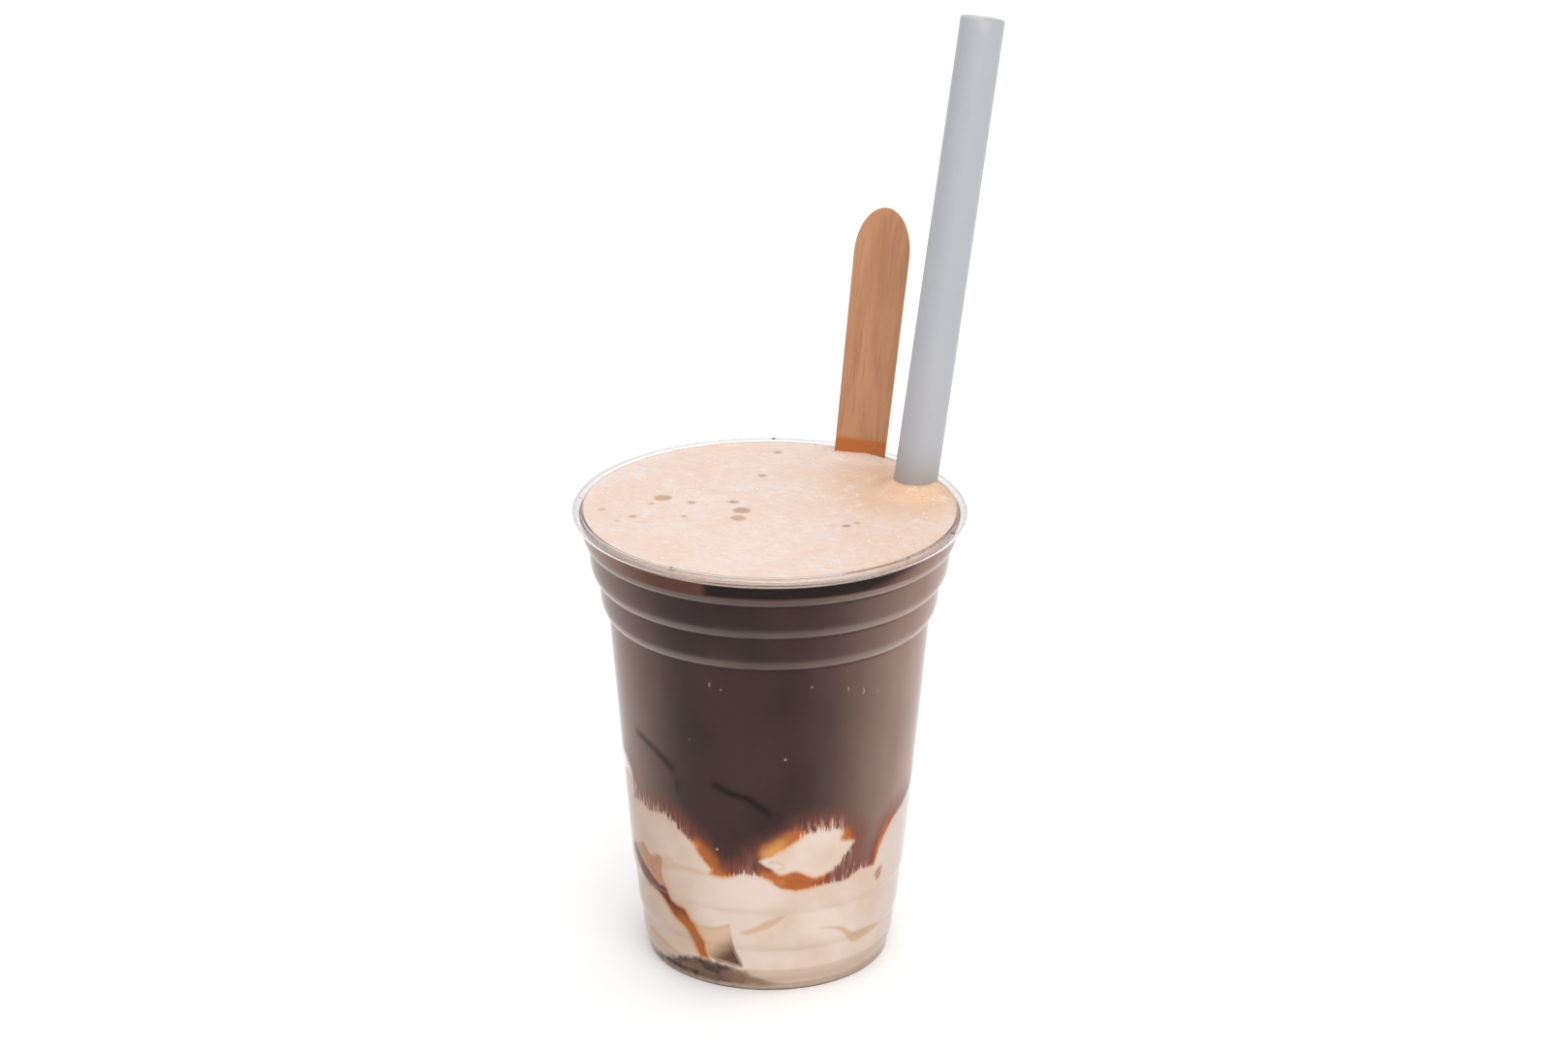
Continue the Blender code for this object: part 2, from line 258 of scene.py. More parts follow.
def cupProfile():
    floor = cup["floorTop"]
    corner = cup["floorCorner"]
    heel = cup["heel"]
    heelRadius = float(wallRadius(heel))
    points = [
        (0.0, cup["panelHeight"]),
        (cup["ringInner"] - 0.4, cup["panelHeight"]),
        (cup["ringInner"], cup["panelHeight"] - 0.1),
        (cup["ringInner"] + cup["ringSlope"], 0.05),
        (cup["ringInner"] + cup["ringSlope"] + 0.15, 0.0),
    ]
    for part in (0, 15, 30, 45, 60, 75, 90):
        turn = math.radians(part)
        points.append((heelRadius - heel + heel * math.sin(turn), heel - heel * math.cos(turn)))
    beadHalf = cup["beadWidth"] / 2
    beadRise = cup["beadHeight"] / 2
    centre = (cup["rimRadius"] - beadHalf, cup["rimTop"] - beadRise)
    sheet = cup["rimSheet"]
    neckTop = centre[1] - cup["neckDrop"]
    points += [(float(wallRadius(h)), h) for h in wallHeights(heel + 0.6, neckTop, cup["levelStep"])]
    for turn in range(180, -141, -20):  # hollow side of the rolled rim
        a = math.radians(turn)
        reach = (beadHalf - sheet, beadRise - sheet)
        points.append((centre[0] + reach[0] * math.cos(a), centre[1] + reach[1] * math.sin(a)))
    for turn in range(-140, 181, 16):  # its outer side
        a = math.radians(turn)
        points.append((centre[0] + beadHalf * math.cos(a), centre[1] + beadRise * math.sin(a)))
    inside = wallHeights(floor + corner, neckTop, cup["levelStep"])
    points += [(float(wallRadius(h)) - cup["wall"], h) for h in reversed(inside)]
    cornerRadius = float(wallRadius(floor + corner)) - cup["wall"]
    for part in (30, 60, 90):
        turn = math.radians(part)
        across = corner * (1 - math.cos(turn))
        points.append((cornerRadius - across, floor + corner - corner * math.sin(turn)))
    points.append((0.0, floor))
    return points


plastic = {
    "refraction": 1.25,  # low, as the wall reflects weakly
    "rimFrom": 115.0,
    "rimFull": 116.2,
    "rimPower": 2.4,
    "tint": toLinear(250, 249, 249),
    "rimTint": toLinear(128, 108, 106),  # the rolled rim where it is seen edge-on
    "shadowTint": (0.97, 0.97, 0.97, 1.0),
}


def plasticMaterial():
    material, tree, shader = newMaterial("clear plastic")
    shader.inputs["Transmission Weight"].default_value = 1.0
    shader.inputs["IOR"].default_value = plastic["refraction"]
    rim = ease(tree, objectPlace(tree)[2], plastic["rimFrom"] * mm, plastic["rimFull"] * mm)
    facing = addNode(tree, "ShaderNodeLayerWeight", {"Blend": 0.4}).outputs["Facing"]
    edgeOn = times(tree, rim, calc(tree, "POWER", facing, plastic["rimPower"]))
    tint = blend(tree, edgeOn, plastic["tint"], plastic["rimTint"])
    feed(tree, shader.inputs["Base Color"], tint)
    ripple = grain(tree, 45, stretch=(1, 1, 0.3), detail=1.0)
    flat = times(tree, ripple, minus(tree, 1.0, rim))
    inputs = {"Height": flat, "Strength": 0.06, "Distance": 0.0004}
    feed(tree, shader.inputs["Normal"], addNode(tree, "ShaderNodeBump", inputs).outputs[0])
    smear = ease(tree, grain(tree, 120, stretch=(1, 1, 0.3), detail=3.0), 0.5, 0.8)
    feed(tree, shader.inputs["Roughness"], plus(tree, times(tree, smear, 0.04), 0.01))
    clear = addNode(tree, "ShaderNodeBsdfTransparent", {"Color": plastic["shadowTint"]})
    isShadow = addNode(tree, "ShaderNodeLightPath").outputs["Is Shadow Ray"]
    mixed = addNode(tree, "ShaderNodeMixShader", {0: isShadow, 1: shader.outputs[0], 2: clear.outputs[0]})
    tree.links.new(mixed.outputs[0], tree.nodes["Material Output"].inputs["Surface"])
    return material


cupShell = turned("cupShell", cupProfile(), cup["sides"], plasticMaterial())
print("cup made")


# Ice cream and coffee, where they press against the wall

iceCream = {
    "top": 56.0,
    "coreRadius": 18.0,
    "shoulderRadius": 50.0,
    "shoulderPower": 8,
    "intoWall": 0.18,
    "roundness": 22.0,  # radius of a scoop's ball, which sets how fast it falls back from the wall
    "halfHeight": 9.0,
    "foot": ((27.4, 1.1), (28.6, 0.45), (29.6, 0.35)),  # its rings in the cup's foot ring: radius, height
    "foldDepth": 0.14,
    "flush": 0.7,  # how far past its edge it still touches the wall
    "sides": 420,
    "levelStep": 0.45,
}
coffee = {
    "top": 115.5,
    "intoWall": 0.10,
    "dip": 0.45,  # how far it draws back behind ice cream that touches the wall
    "fineTop": 68.0,
    "coarseStep": 1.1,
    "lineLift": 0.45,  # painted highlight lines on the rings, this far over each ledge
    "sideSheenTurn": 8,  # the painted side sheen is weakest this many degrees to the left
    "lipShadeLow": 112.2,
    "lipShadowStretch": (-19, 38),  # the stretch of near-black painted shadow beneath the lip, which ends at a slant
    "lipShadowSlant": 5.0,
}

# where the lowest ice cream ends, round the whole cup
lowerTop = (
    (-180, 40), (-160, 43.5), (-142, 40), (-128, 36), (-112, 38), (-98, 36), (-80, 33), (-62, 32),
    (-40, 33), (-24, 33), (-18.6, 32.5), (-15.2, 33.1), (-10.3, 34), (-5.4, 33.8), (-1.9, 33.4),
    (1.6, 32.2), (5.9, 30.4), (10.9, 29.5), (16, 29.6), (21.5, 30.1), (27.4, 30.1), (33.6, 29.9),
    (37.8, 30.9), (41.4, 31.7), (50, 31.3), (58, 31), (75, 33), (95, 36), (110, 37), (122, 35),
    (138, 33), (152, 37), (168, 42),
)
masses = {
    "left": (
        (-72.5, 43.5), (-62.7, 45.6), (-55, 44.9), (-47.1, 45.6), (-41.7, 44.5), (-34.9, 41.9),
        (-31.3, 40.3), (-28.7, 37.9), (-25.3, 35.6), (-23.7, 33.6), (-29, 31.5), (-48, 31),
        (-65, 31), (-80, 31), (-82, 38),
    ),
    "leftStrip": (
        (-76.8, 55.5), (-71.2, 54.3), (-68.9, 51.1), (-68.1, 47.5), (-72.5, 43.5), (-76, 36),
        (-90, 33), (-103, 38), (-101, 50), (-88, 56),
    ),
    "island": (
        (-2.6, 38.5), (2.6, 40.1), (8.3, 42.1), (12.4, 43.9), (15.2, 45.2), (21.2, 45.4),
        (29.1, 45.1), (30.8, 43.9), (30.5, 42.9), (31, 41.9), (36.5, 41), (35.2, 39.7),
        (31.5, 36.9), (28.9, 35.1), (23.2, 33.1), (19.8, 32.7), (15.4, 33.9), (10.7, 34.9),
        (5.8, 34.1), (3.3, 34.9), (1.6, 36.2), (-2.2, 37.6),
    ),
    "right": (
        (75, 45.5), (68, 43.5), (60.2, 41.7), (55.5, 39), (53, 37), (51.6, 34.6), (50, 32.6),
        (49.8, 31), (54, 27), (66, 24), (84, 24), (100, 28), (108, 36), (100, 43), (88, 47),
    ),
    "back": ((138, 46), (150, 49.5), (163, 48), (170, 42), (160, 36), (146, 38)),
    "backLeft": ((-126, 43), (-119, 48), (-108, 50), (-99, 46), (-103, 40), (-115, 36)),
}
# coffee that has run in between the scoops
streak = (
    (-77, 29), (-70.6, 26.4), (-63.8, 22.9), (-54.7, 22.2), (-49, 20), (-44, 17.2), (-38.1, 15.2),
    (-35.8, 12.6), (-34.2, 10), (-31.3, 8), (-27.5, 8.2), (-28.4, 9.8), (-29.6, 12.9), (-32.4, 16.1),
    (-35.6, 18.5), (-38.4, 20.6), (-42.9, 21), (-46.8, 22.4), (-48.4, 25), (-54, 25.4),
    (-60, 27.4), (-67, 29.4), (-74, 32),
)
pool = (
    (-70, 1.2), (-60, 2.7), (-50, 4.7), (-42, 6.4), (-34, 7.7), (-26.4, 7.8), (-18, 7.2), (-10, 5.7),
    (-3, 3.6), (6, 1.9), (-8, 1.0), (-27, 0.9), (-42, 0.8), (-56, 0.6),
)
# browned coffee fringes: how bright at the left and the right end, then the outline
caramels = (
    (1.15, 0.25, (
        (-2.2, 39.6), (-1.5, 42.3), (1.5, 43.5), (5.5, 45.4), (10.3, 46.7), (14, 46.9), (15.1, 45.7),
        (12.4, 44), (8.3, 42.2), (4.9, 40.6), (1.5, 39.6),
    )),
    (0.6, 0.0, (
        (-2.6, 34.9), (1.6, 35.2), (3.3, 34.6), (5.8, 34), (10.7, 34.8), (13.5, 34.5), (15.8, 33.6),
        (19.5, 32.7), (23.2, 33.1), (25.6, 32.3), (23.4, 30.6), (19.6, 30), (15.6, 29.5), (10.9, 29.5),
        (6.9, 30.2), (3, 31.6), (-0.1, 33.3),
    )),
    (0.6, 0.3, (
        (31.9, 44.7), (34.8, 44.4), (36.7, 42.9), (36, 41.3), (33.5, 41.3), (31, 41.9), (30.6, 43.4),
    )),
    (0.6, 0.1, (
        (-32.2, 41), (-29, 41.8), (-25.8, 41.1), (-21.7, 38.9), (-18, 35.5), (-14.5, 33.8), (-19.5, 32.2),
        (-28.6, 32), (-24, 33.8), (-26, 36.3), (-29.5, 38.8),
    )),
    (0.0, 0.3, (
        (61, 42.8), (57, 40.4), (54, 37.8), (51.6, 35.6), (49.6, 32.6), (46, 31), (46.5, 33.4), (49, 37.6),
        (52.4, 41.2), (57, 44.2),
    )),
    (0.3, 0.6, ((132, 36), (140, 35), (150, 38.5), (146, 40), (138, 44), (134, 40))),
    (0.7, 0.3, ((-132, 37), (-122, 38.5), (-112, 39.5), (-116, 37.5), (-126, 35.5))),
)
# folds in the ice cream, darkened with painted tan shade: how dark, then the outline
folds = (
    (0.8, (
        (-31.7, 17.3), (-25.1, 17.6), (-20.6, 18.4), (-16.6, 19.5), (-16.3, 18.1), (-15.9, 15.9),
        (-15.3, 13.1), (-13.8, 10.6), (-11.3, 7.2), (-14.8, 7.2), (-19.3, 7.6), (-23.9, 7.9),
        (-27.2, 9.2), (-29.1, 12.9), (-31.9, 16.2),
    )),
    (0.75, ((-12.6, 17.2), (-9.1, 16.5), (-4, 17.6), (2.8, 19.6), (8, 22.5), (1.1, 21.4), (-5.7, 19))),
    (0.8, (
        (22, 17.9), (31.7, 16), (37.8, 12.6), (41.9, 10.5), (49.6, 10.8), (64, 12.2), (49.5, 13.7),
        (41, 14), (33, 17),
    )),
    (0.45, (
        (-49.5, 29.8), (-42.9, 31.2), (-35.1, 32), (-29, 32.1), (-24, 33.2), (-32.6, 33.5),
        (-40.9, 33.4), (-44, 34.6), (-49, 33.9),
    )),
    (0.7, ((0.4, 38.3), (3.6, 38.4), (7.2, 37.3), (6.0, 36.7), (3.2, 37.6), (0.8, 37.5))),
    (0.6, ((3.7, 36.0), (6.9, 36.5), (7.6, 35.9), (4.3, 35.4))),
    (0.8, ((-68, 9.6), (-58, 8.7), (-50, 7.7), (-43, 6.7), (-50, 6.2), (-60, 6.7), (-69, 7.6))),
    (0.5, ((84, 20), (94, 17), (104, 19), (112, 17), (104, 15.5), (94, 14.5))),
    (0.55, ((150, 24), (160, 21), (172, 23), (182, 20), (170, 18.5), (158, 18))),
    (0.55, ((-150, 20), (-138, 24), (-126, 21), (-118, 23), (-128, 18), (-140, 18))),
)
pocket = (  # thin place over the streak
    (-65.9, 33.6), (-61.1, 34.2), (-58, 32.4), (-49.6, 33.5), (-50, 28.1), (-48.5, 25.3),
    (-56.9, 24.8), (-65.4, 25.3), (-71, 27.5), (-72, 31),
)
blotch = ((54, 30.6), (51.3, 29.6), (50.4, 28), (52.2, 26.3), (54.8, 27.4), (55.2, 29.6))
# hair-fine streaks that stand up into the coffee: angle, height, reach, strength
hairs = (
    (-58, 45.5, 9, 0.8),
    (-44, 44.5, 6, 0.7),
    (23, 47.5, 6.5, 1.0),
    (36, 32, 8.5, 0.5),
    (-12, 34, 6, 0.3),
    (-110, 49, 6, 0.8),
    (100, 37, 10, 0.8),
    (-165, 43, 10, 0.9),
    (152, 49, 6, 0.7),
)
strokes = (  # faint dark traces in the coffee, as paths
    (0.9, ((-58.7, 65.9), (-48.7, 64), (-39.6, 60.4))),
    (0.7, ((-37.1, 57.1), (-37.4, 54.8))),
    (1.0, ((-20.6, 58.5), (-14.4, 56.6), (-7.5, 55.6), (0, 51.9))),
)
marks = {
    "reach": 9.0,  # distances to an outline are worked out this far
    "edgeReach": 12.0,  # and this far to the ice cream's edge
    "topRadius": 35,  # the wall's, near the line where the lowest ice cream ends
    "glowRise": 0.12,  # a fringe is brighter by this for each millimetre inside it
    "glowDepth": 3,
    "strokeWidth": 1.1,
    "hollowAt": (-24, 13),  # the painted shade in the hollow starts here: angle, height
    "hollowRadius": 32,
    "hollowLean": 1.1,
    "hollowSoft": (-1, 8),
}


def smoothLoop(points, steps=5):
    # a closed curve through the points
    base = np.array(points, float)
    parts = np.arange(steps)[:, None] / steps
    curve = []
    for k in range(len(base)):
        a, b, c, d = (base[(k + j) % len(base)] for j in (-1, 0, 1, 2))
        square, cube = parts ** 2, parts ** 3
        bend = (2 * a - 5 * b + 4 * c - d) * square + (3 * b - 3 * c + d - a) * cube
        curve.append(0.5 * (2 * b + (c - a) * parts + bend))
    return np.concatenate(curve)


def awayFrom(outline, angles, heights, reach=marks["reach"], closed=True):
    # millimetres along the wall to an outline, negative inside a closed one
    curve = smoothLoop(outline) if closed else np.array(outline, float)
    middle = curve[:, 0].mean()
    lineAcross = np.radians(curve[:, 0] - middle) * wallRadius(curve[:, 1])
    lineUp = curve[:, 1]
    across = np.radians((angles - middle + 180) % 360 - 180) * wallRadius(heights)
    near = (across > lineAcross.min() - reach) & (across < lineAcross.max() + reach)
    near &= (heights > lineUp.min() - reach) & (heights < lineUp.max() + reach)
    x, y = across[near], heights[near]
    best = np.full(x.shape, reach ** 2)
    inside = np.zeros(x.shape, bool)
    for k in range(0 if closed else 1, len(curve)):
        startX, startY = lineAcross[k - 1], lineUp[k - 1]
        runX, runY = lineAcross[k] - startX, lineUp[k] - startY
        part = ((x - startX) * runX + (y - startY) * runY) / (runX ** 2 + runY ** 2 + 1e-9)
        part = np.clip(part, 0, 1)
        best = np.minimum(best, (x - startX - part * runX) ** 2 + (y - startY - part * runY) ** 2)
        if closed and runY:
            crosses = (startY > y) != (startY + runY > y)
            inside ^= crosses & (x < startX + (y - startY) / runY * runX)
    away = np.full(angles.shape, float(reach))
    away[near] = np.where(inside, -1, 1) * np.sqrt(best)
    return away


def blobs(places, angles, heights):
    # soft round spots on the wall, as their angle, height, reach and strength
    total = np.zeros(angles.shape)
    for angle, height, reach, strength in places:
        across = np.radians((angles - angle + 180) % 360 - 180) * wallRadius(heights)
        away = np.hypot(across, heights - height) / reach
        total = np.maximum(total, strength * np.exp(-(away ** 2)))
    return total


def lowerEdge(angles, heights):
    # height over the lowest ice cream's top line, square to that line
    line = np.array(lowerTop, float)
    line = np.concatenate([line - (360, 0), line, line + (360, 0)])
    dense = smoothLoop(line, 8)[:-8]
    order = np.argsort(dense[:, 0])
    turns = np.arange(-180, 181, 0.5)
    tops = np.interp(turns, dense[order, 0], dense[order, 1])
    slopes = np.gradient(tops, np.radians(turns)) / marks["topRadius"]
    slope = np.interp(angles, turns, slopes)
    return (heights - np.interp(angles, turns, tops)) / np.sqrt(1 + slope ** 2)


def wallFields(angles, heights):
    # what the wall shows at each point, as distances in millimetres and strengths
    edge = np.minimum(lowerEdge(angles, heights), marks["edgeReach"])
    for outline in masses.values():
        edge = np.minimum(edge, awayFrom(outline, angles, heights, reach=marks["edgeReach"]))
    caramelAway = np.full(angles.shape, marks["reach"])
    glow = np.zeros(angles.shape)
    for left, right, outline in caramels:
        away = awayFrom(outline, angles, heights)
        ends = np.array(outline)[:, 0]
        bright = np.interp(angles, (ends.min(), ends.max()), (left, right))
        inside = np.clip(-away, 0, marks["glowDepth"])
        glow = np.where(away < caramelAway, bright + marks["glowRise"] * inside, glow)
        caramelAway = np.minimum(caramelAway, away)
    # how strong the painted shade of each fold is
    foldShade = np.zeros(angles.shape)
    for dark, outline in folds:
        away = awayFrom(outline, angles, heights)
        foldShade = np.maximum(foldShade, dark * smoothStep(-away, -0.25, 0.5))
    # where the painted shade of the hollow falls
    fromAngle, fromHeight = marks["hollowAt"]
    lean = np.radians(angles - fromAngle) * marks["hollowRadius"]
    lean = lean - (heights - fromHeight) * marks["hollowLean"]
    stroke = np.zeros(angles.shape)
    for strength, path in strokes:
        away = awayFrom(path, angles, heights, closed=False)
        stroke = np.maximum(stroke, strength * np.exp(-((away / marks["strokeWidth"]) ** 2)))
    return {
        "edge": edge,
        "streak": awayFrom(streak, angles, heights),
        "pool": awayFrom(pool, angles, heights),
        "caramel": caramelAway,
        "glow": glow,
        "foldShade": foldShade,
        "hollow": smoothStep(lean, *marks["hollowSoft"]),
        "crease": awayFrom(folds[0][1], angles, heights),
        "pocket": np.minimum(awayFrom(pocket, angles, heights), awayFrom(blotch, angles, heights)),
        "hair": blobs(hairs, angles, heights),
        "stroke": stroke,
        "height": heights + 0 * angles,
    }


def insideRadius(heights):
    # inner side of the cup's wall, with the rounded corner at the floor
    low = cup["floorTop"] + cup["floorCorner"]
    drop = np.clip((low - heights) / cup["floorCorner"], 0, 1)
    corner = cup["floorCorner"] * (1 - np.sqrt(1 - drop ** 2))
    return wallRadius(np.maximum(heights, low)) - cup["wall"] - corner


def wallGrid(heights):
    turns = -180 + 360 * np.arange(iceCream["sides"]) / iceCream["sides"]
    return np.meshgrid(turns, heights)


def onWall(angles, heights, radius):
    turn = np.radians(angles)
    return np.stack([radius * np.sin(turn), -radius * np.cos(turn), heights], axis=2)


def wallPiece(name, angles, heights, radius, fields, top, material):
    rings = onWall(angles, heights, radius)
    piece = ringSurface(name, rings, material, (0, 0, heights[0, 0]), (0, 0, top))
    for label, values in fields.items():
        setField(piece, label, values)
    return piece


def filmDepth(away):
    # how far the ice cream lies behind the wall where coffee covers it
    away = np.maximum(away - iceCream["flush"], 0)
    return (2 * away * iceCream["halfHeight"] + away ** 2) / (2 * iceCream["roundness"])


def makeIceCream(material):
    low = cup["floorTop"] - 0.1
    levels = np.arange(low, iceCream["top"] - 0.8, iceCream["levelStep"])
    levels = np.append(levels, [iceCream["top"] - 0.5, iceCream["top"] - 0.2, iceCream["top"] - 0.05])
    levels = np.append([height for _, height in iceCream["foot"]], levels)
    angles, heights = wallGrid(levels)
    fields = wallFields(angles, heights)
    dome = 1 - (heights / iceCream["top"]) ** iceCream["shoulderPower"]
    dome = iceCream["shoulderRadius"] * np.sqrt(np.maximum(dome, 0))
    # the folds' painted shade also sets their shallow recess
    recess = iceCream["foldDepth"] * np.clip(fields["foldShade"], 0, 1)
    side = insideRadius(heights) + iceCream["intoWall"] - filmDepth(fields["edge"]) - recess
    radius = np.minimum(np.maximum(side, iceCream["coreRadius"]), dome)
    for row, (reach, _) in enumerate(iceCream["foot"]):
        radius[row] = reach
    return wallPiece("iceCreamBody", angles, heights, radius, fields, iceCream["top"], material)


def makeCoffee(material):
    low = cup["floorTop"] - 0.05
    fine = np.arange(low, coffee["fineTop"], iceCream["levelStep"])
    coarse = wallHeights(coffee["fineTop"], coffee["top"], coffee["coarseStep"])
    angles, heights = wallGrid(np.append(fine, coarse))
    fields = wallFields(angles, heights)
    behind = 1 - smoothStep(fields["edge"], -1.7, -0.6)
    radius = insideRadius(heights) + coffee["intoWall"] - coffee["dip"] * behind
    return wallPiece("coffeeBody", angles, heights, radius, fields, coffee["top"], material)


stain = {
    "cream": toLinear(215, 199, 187),
    "creamShade": toLinear(205, 182, 163),
    # painted shade on the ice cream towards the left and the right sides
    "creamLeftShade": toLinear(192, 164, 138),
    "creamRightShade": toLinear(204, 188, 178),
    # painted shade in the folds
    "foldShadeTan": toLinear(196, 162, 126),
    "tanPale": toLinear(206, 178, 148),
    # painted shade in the hollow and a painted shade line along its crease
    "hollowShade": toLinear(96, 70, 56),
    "creaseShadeLine": toLinear(128, 98, 70),
    "pocket": toLinear(182, 128, 92),
    "pocketLine": toLinear(144, 84, 52),
    "caramelDeep": toLinear(126, 62, 38),
    "caramelMid": toLinear(172, 96, 46),
    "caramelBright": toLinear(204, 150, 80),
    "amber": toLinear(212, 160, 116),
    "streakDark": toLinear(100, 38, 8),
    "streakOrange": toLinear(170, 98, 44),
    "streakHalo": toLinear(200, 150, 112),
    "halo": toLinear(122, 68, 54),
    "hair": toLinear(168, 130, 112),
    "coffee": toLinear(60, 42, 41),
    "coffeeDeep": toLinear(46, 31, 30),
    # painted shade line beneath each ring's ledge
    "ledgeShade": toLinear(34, 16, 14),
    "stroke": (0.004, 0.001, 0.001, 1.0),
    # painted sheen towards the sides of the coffee
    "sideSheen": toLinear(160, 131, 118),
    # painted highlight along the rings' ledges
    "line": toLinear(206, 186, 176),
    # painted shade beneath the lip, then its near-black front stretch and its lighter sides
    "lipShade": toLinear(88, 52, 42),
    "lipShadowDeep": (0.006, 0.002, 0.001, 1.0),
    "lipShadeSides": toLinear(164, 132, 120),
    "pool": toLinear(112, 84, 68),
    "poolDark": toLinear(60, 40, 32),
    "poolPale": toLinear(146, 116, 92),
    # painted shade low down on the ice cream, near the floor
    "foot": toLinear(196, 172, 152),
}


def within(tree, value, low, high, soft):
    # 1 between two values, soft at both ends
    rise = ease(tree, value, low - soft, low + soft)
    return minus(tree, rise, ease(tree, value, high - soft, high + soft))


def less(tree, value, low, high):
    # 1 below low, 0 above high
    return minus(tree, 1.0, ease(tree, value, low, high))


def coffeeColor(tree, edge, wisp):
    # the dark coffee in clouds, with a painted sheen towards the sides, painted highlights and shade lines
    # at the rings, and painted shade beneath the lip
    x, y, z = objectPlace(tree)
    angle = calc(tree, "DEGREES", calc(tree, "ARCTAN2", x, times(tree, y, -1.0)))
    sine = calc(tree, "SINE", calc(tree, "RADIANS", angle))
    sideways = times(tree, sine, sine)
    # painted sheen where the wall turns away from the front, more on the right, patchy with the clouds
    turned = calc(tree, "SINE", calc(tree, "RADIANS", plus(tree, angle, coffee["sideSheenTurn"])))
    sideSheenWeight = ease(tree, times(tree, turned, turned), 0.05, 1.05)
    height = times(tree, z, 1000.0)
    cloud = grain(tree, 60, stretch=(1, 1, 0.6), detail=3.0)
    color = blend(tree, ease(tree, cloud, 0.35, 0.7), stain["coffee"], stain["coffeeDeep"])
    sideSheen = times(tree, sideSheenWeight, plus(tree, times(tree, cloud, 0.5), 0.58))
    sideSheen = plus(tree, sideSheen, times(tree, ease(tree, sideSheenWeight, 0.85, 1.0), 0.2))
    color = blend(tree, sideSheen, color, stain["sideSheen"])
    color = blend(tree, times(tree, field(tree, "stroke"), 0.9), color, stain["stroke"])
    # painted highlights on each ring's ledge, brighter towards the sides, a painted glow over them and a
    # painted shade line beneath them at the front
    for ledge, _, _ in cup["ledges"][3:]:
        over = minus(tree, height, ledge + coffee["lineLift"])
        strength = plus(tree, times(tree, sideways, 0.7), 0.17)
        bright = times(tree, within(tree, over, -0.15, 0.45, 0.35), strength)
        glow = plus(tree, times(tree, sideways, 0.34), 0.19)
        glow = times(tree, within(tree, over, 0.4, 1.6, 1.3), glow)
        ledgeShade = times(tree, within(tree, over, -1.0, -0.6, 0.35), less(tree, sideways, 0.35, 0.75))
        color = blend(tree, times(tree, ledgeShade, 0.7), color, stain["ledgeShade"])
        color = blend(tree, calc(tree, "MAXIMUM", bright, glow), color, stain["line"])
    # painted shade beneath the lip all round, lighter with painted sheen towards the sides, near-black
    # painted shadow over the front stretch
    over = minus(tree, height, coffee["lipShadeLow"])
    lipShade = blend(tree, ease(tree, sideways, 0.3, 0.95), stain["lipShade"], stain["lipShadeSides"])
    slanted = minus(tree, angle, times(tree, over, coffee["lipShadowSlant"]))
    start, end = coffee["lipShadowStretch"]
    clear = ease(tree, angle, start - 2.5, start + 1)
    clear = times(tree, clear, less(tree, slanted, end - 14, end + 4))
    lipShade = blend(tree, times(tree, clear, ease(tree, over, 0.0, 0.5)), lipShade, stain["lipShadowDeep"])
    color = blend(tree, ease(tree, over, -0.4, 0.2), color, lipShade)
    near = times(tree, less(tree, edge, 0.0, 8.5), ease(tree, wisp, 0.1, 0.6))
    return blend(tree, near, color, stain["halo"])


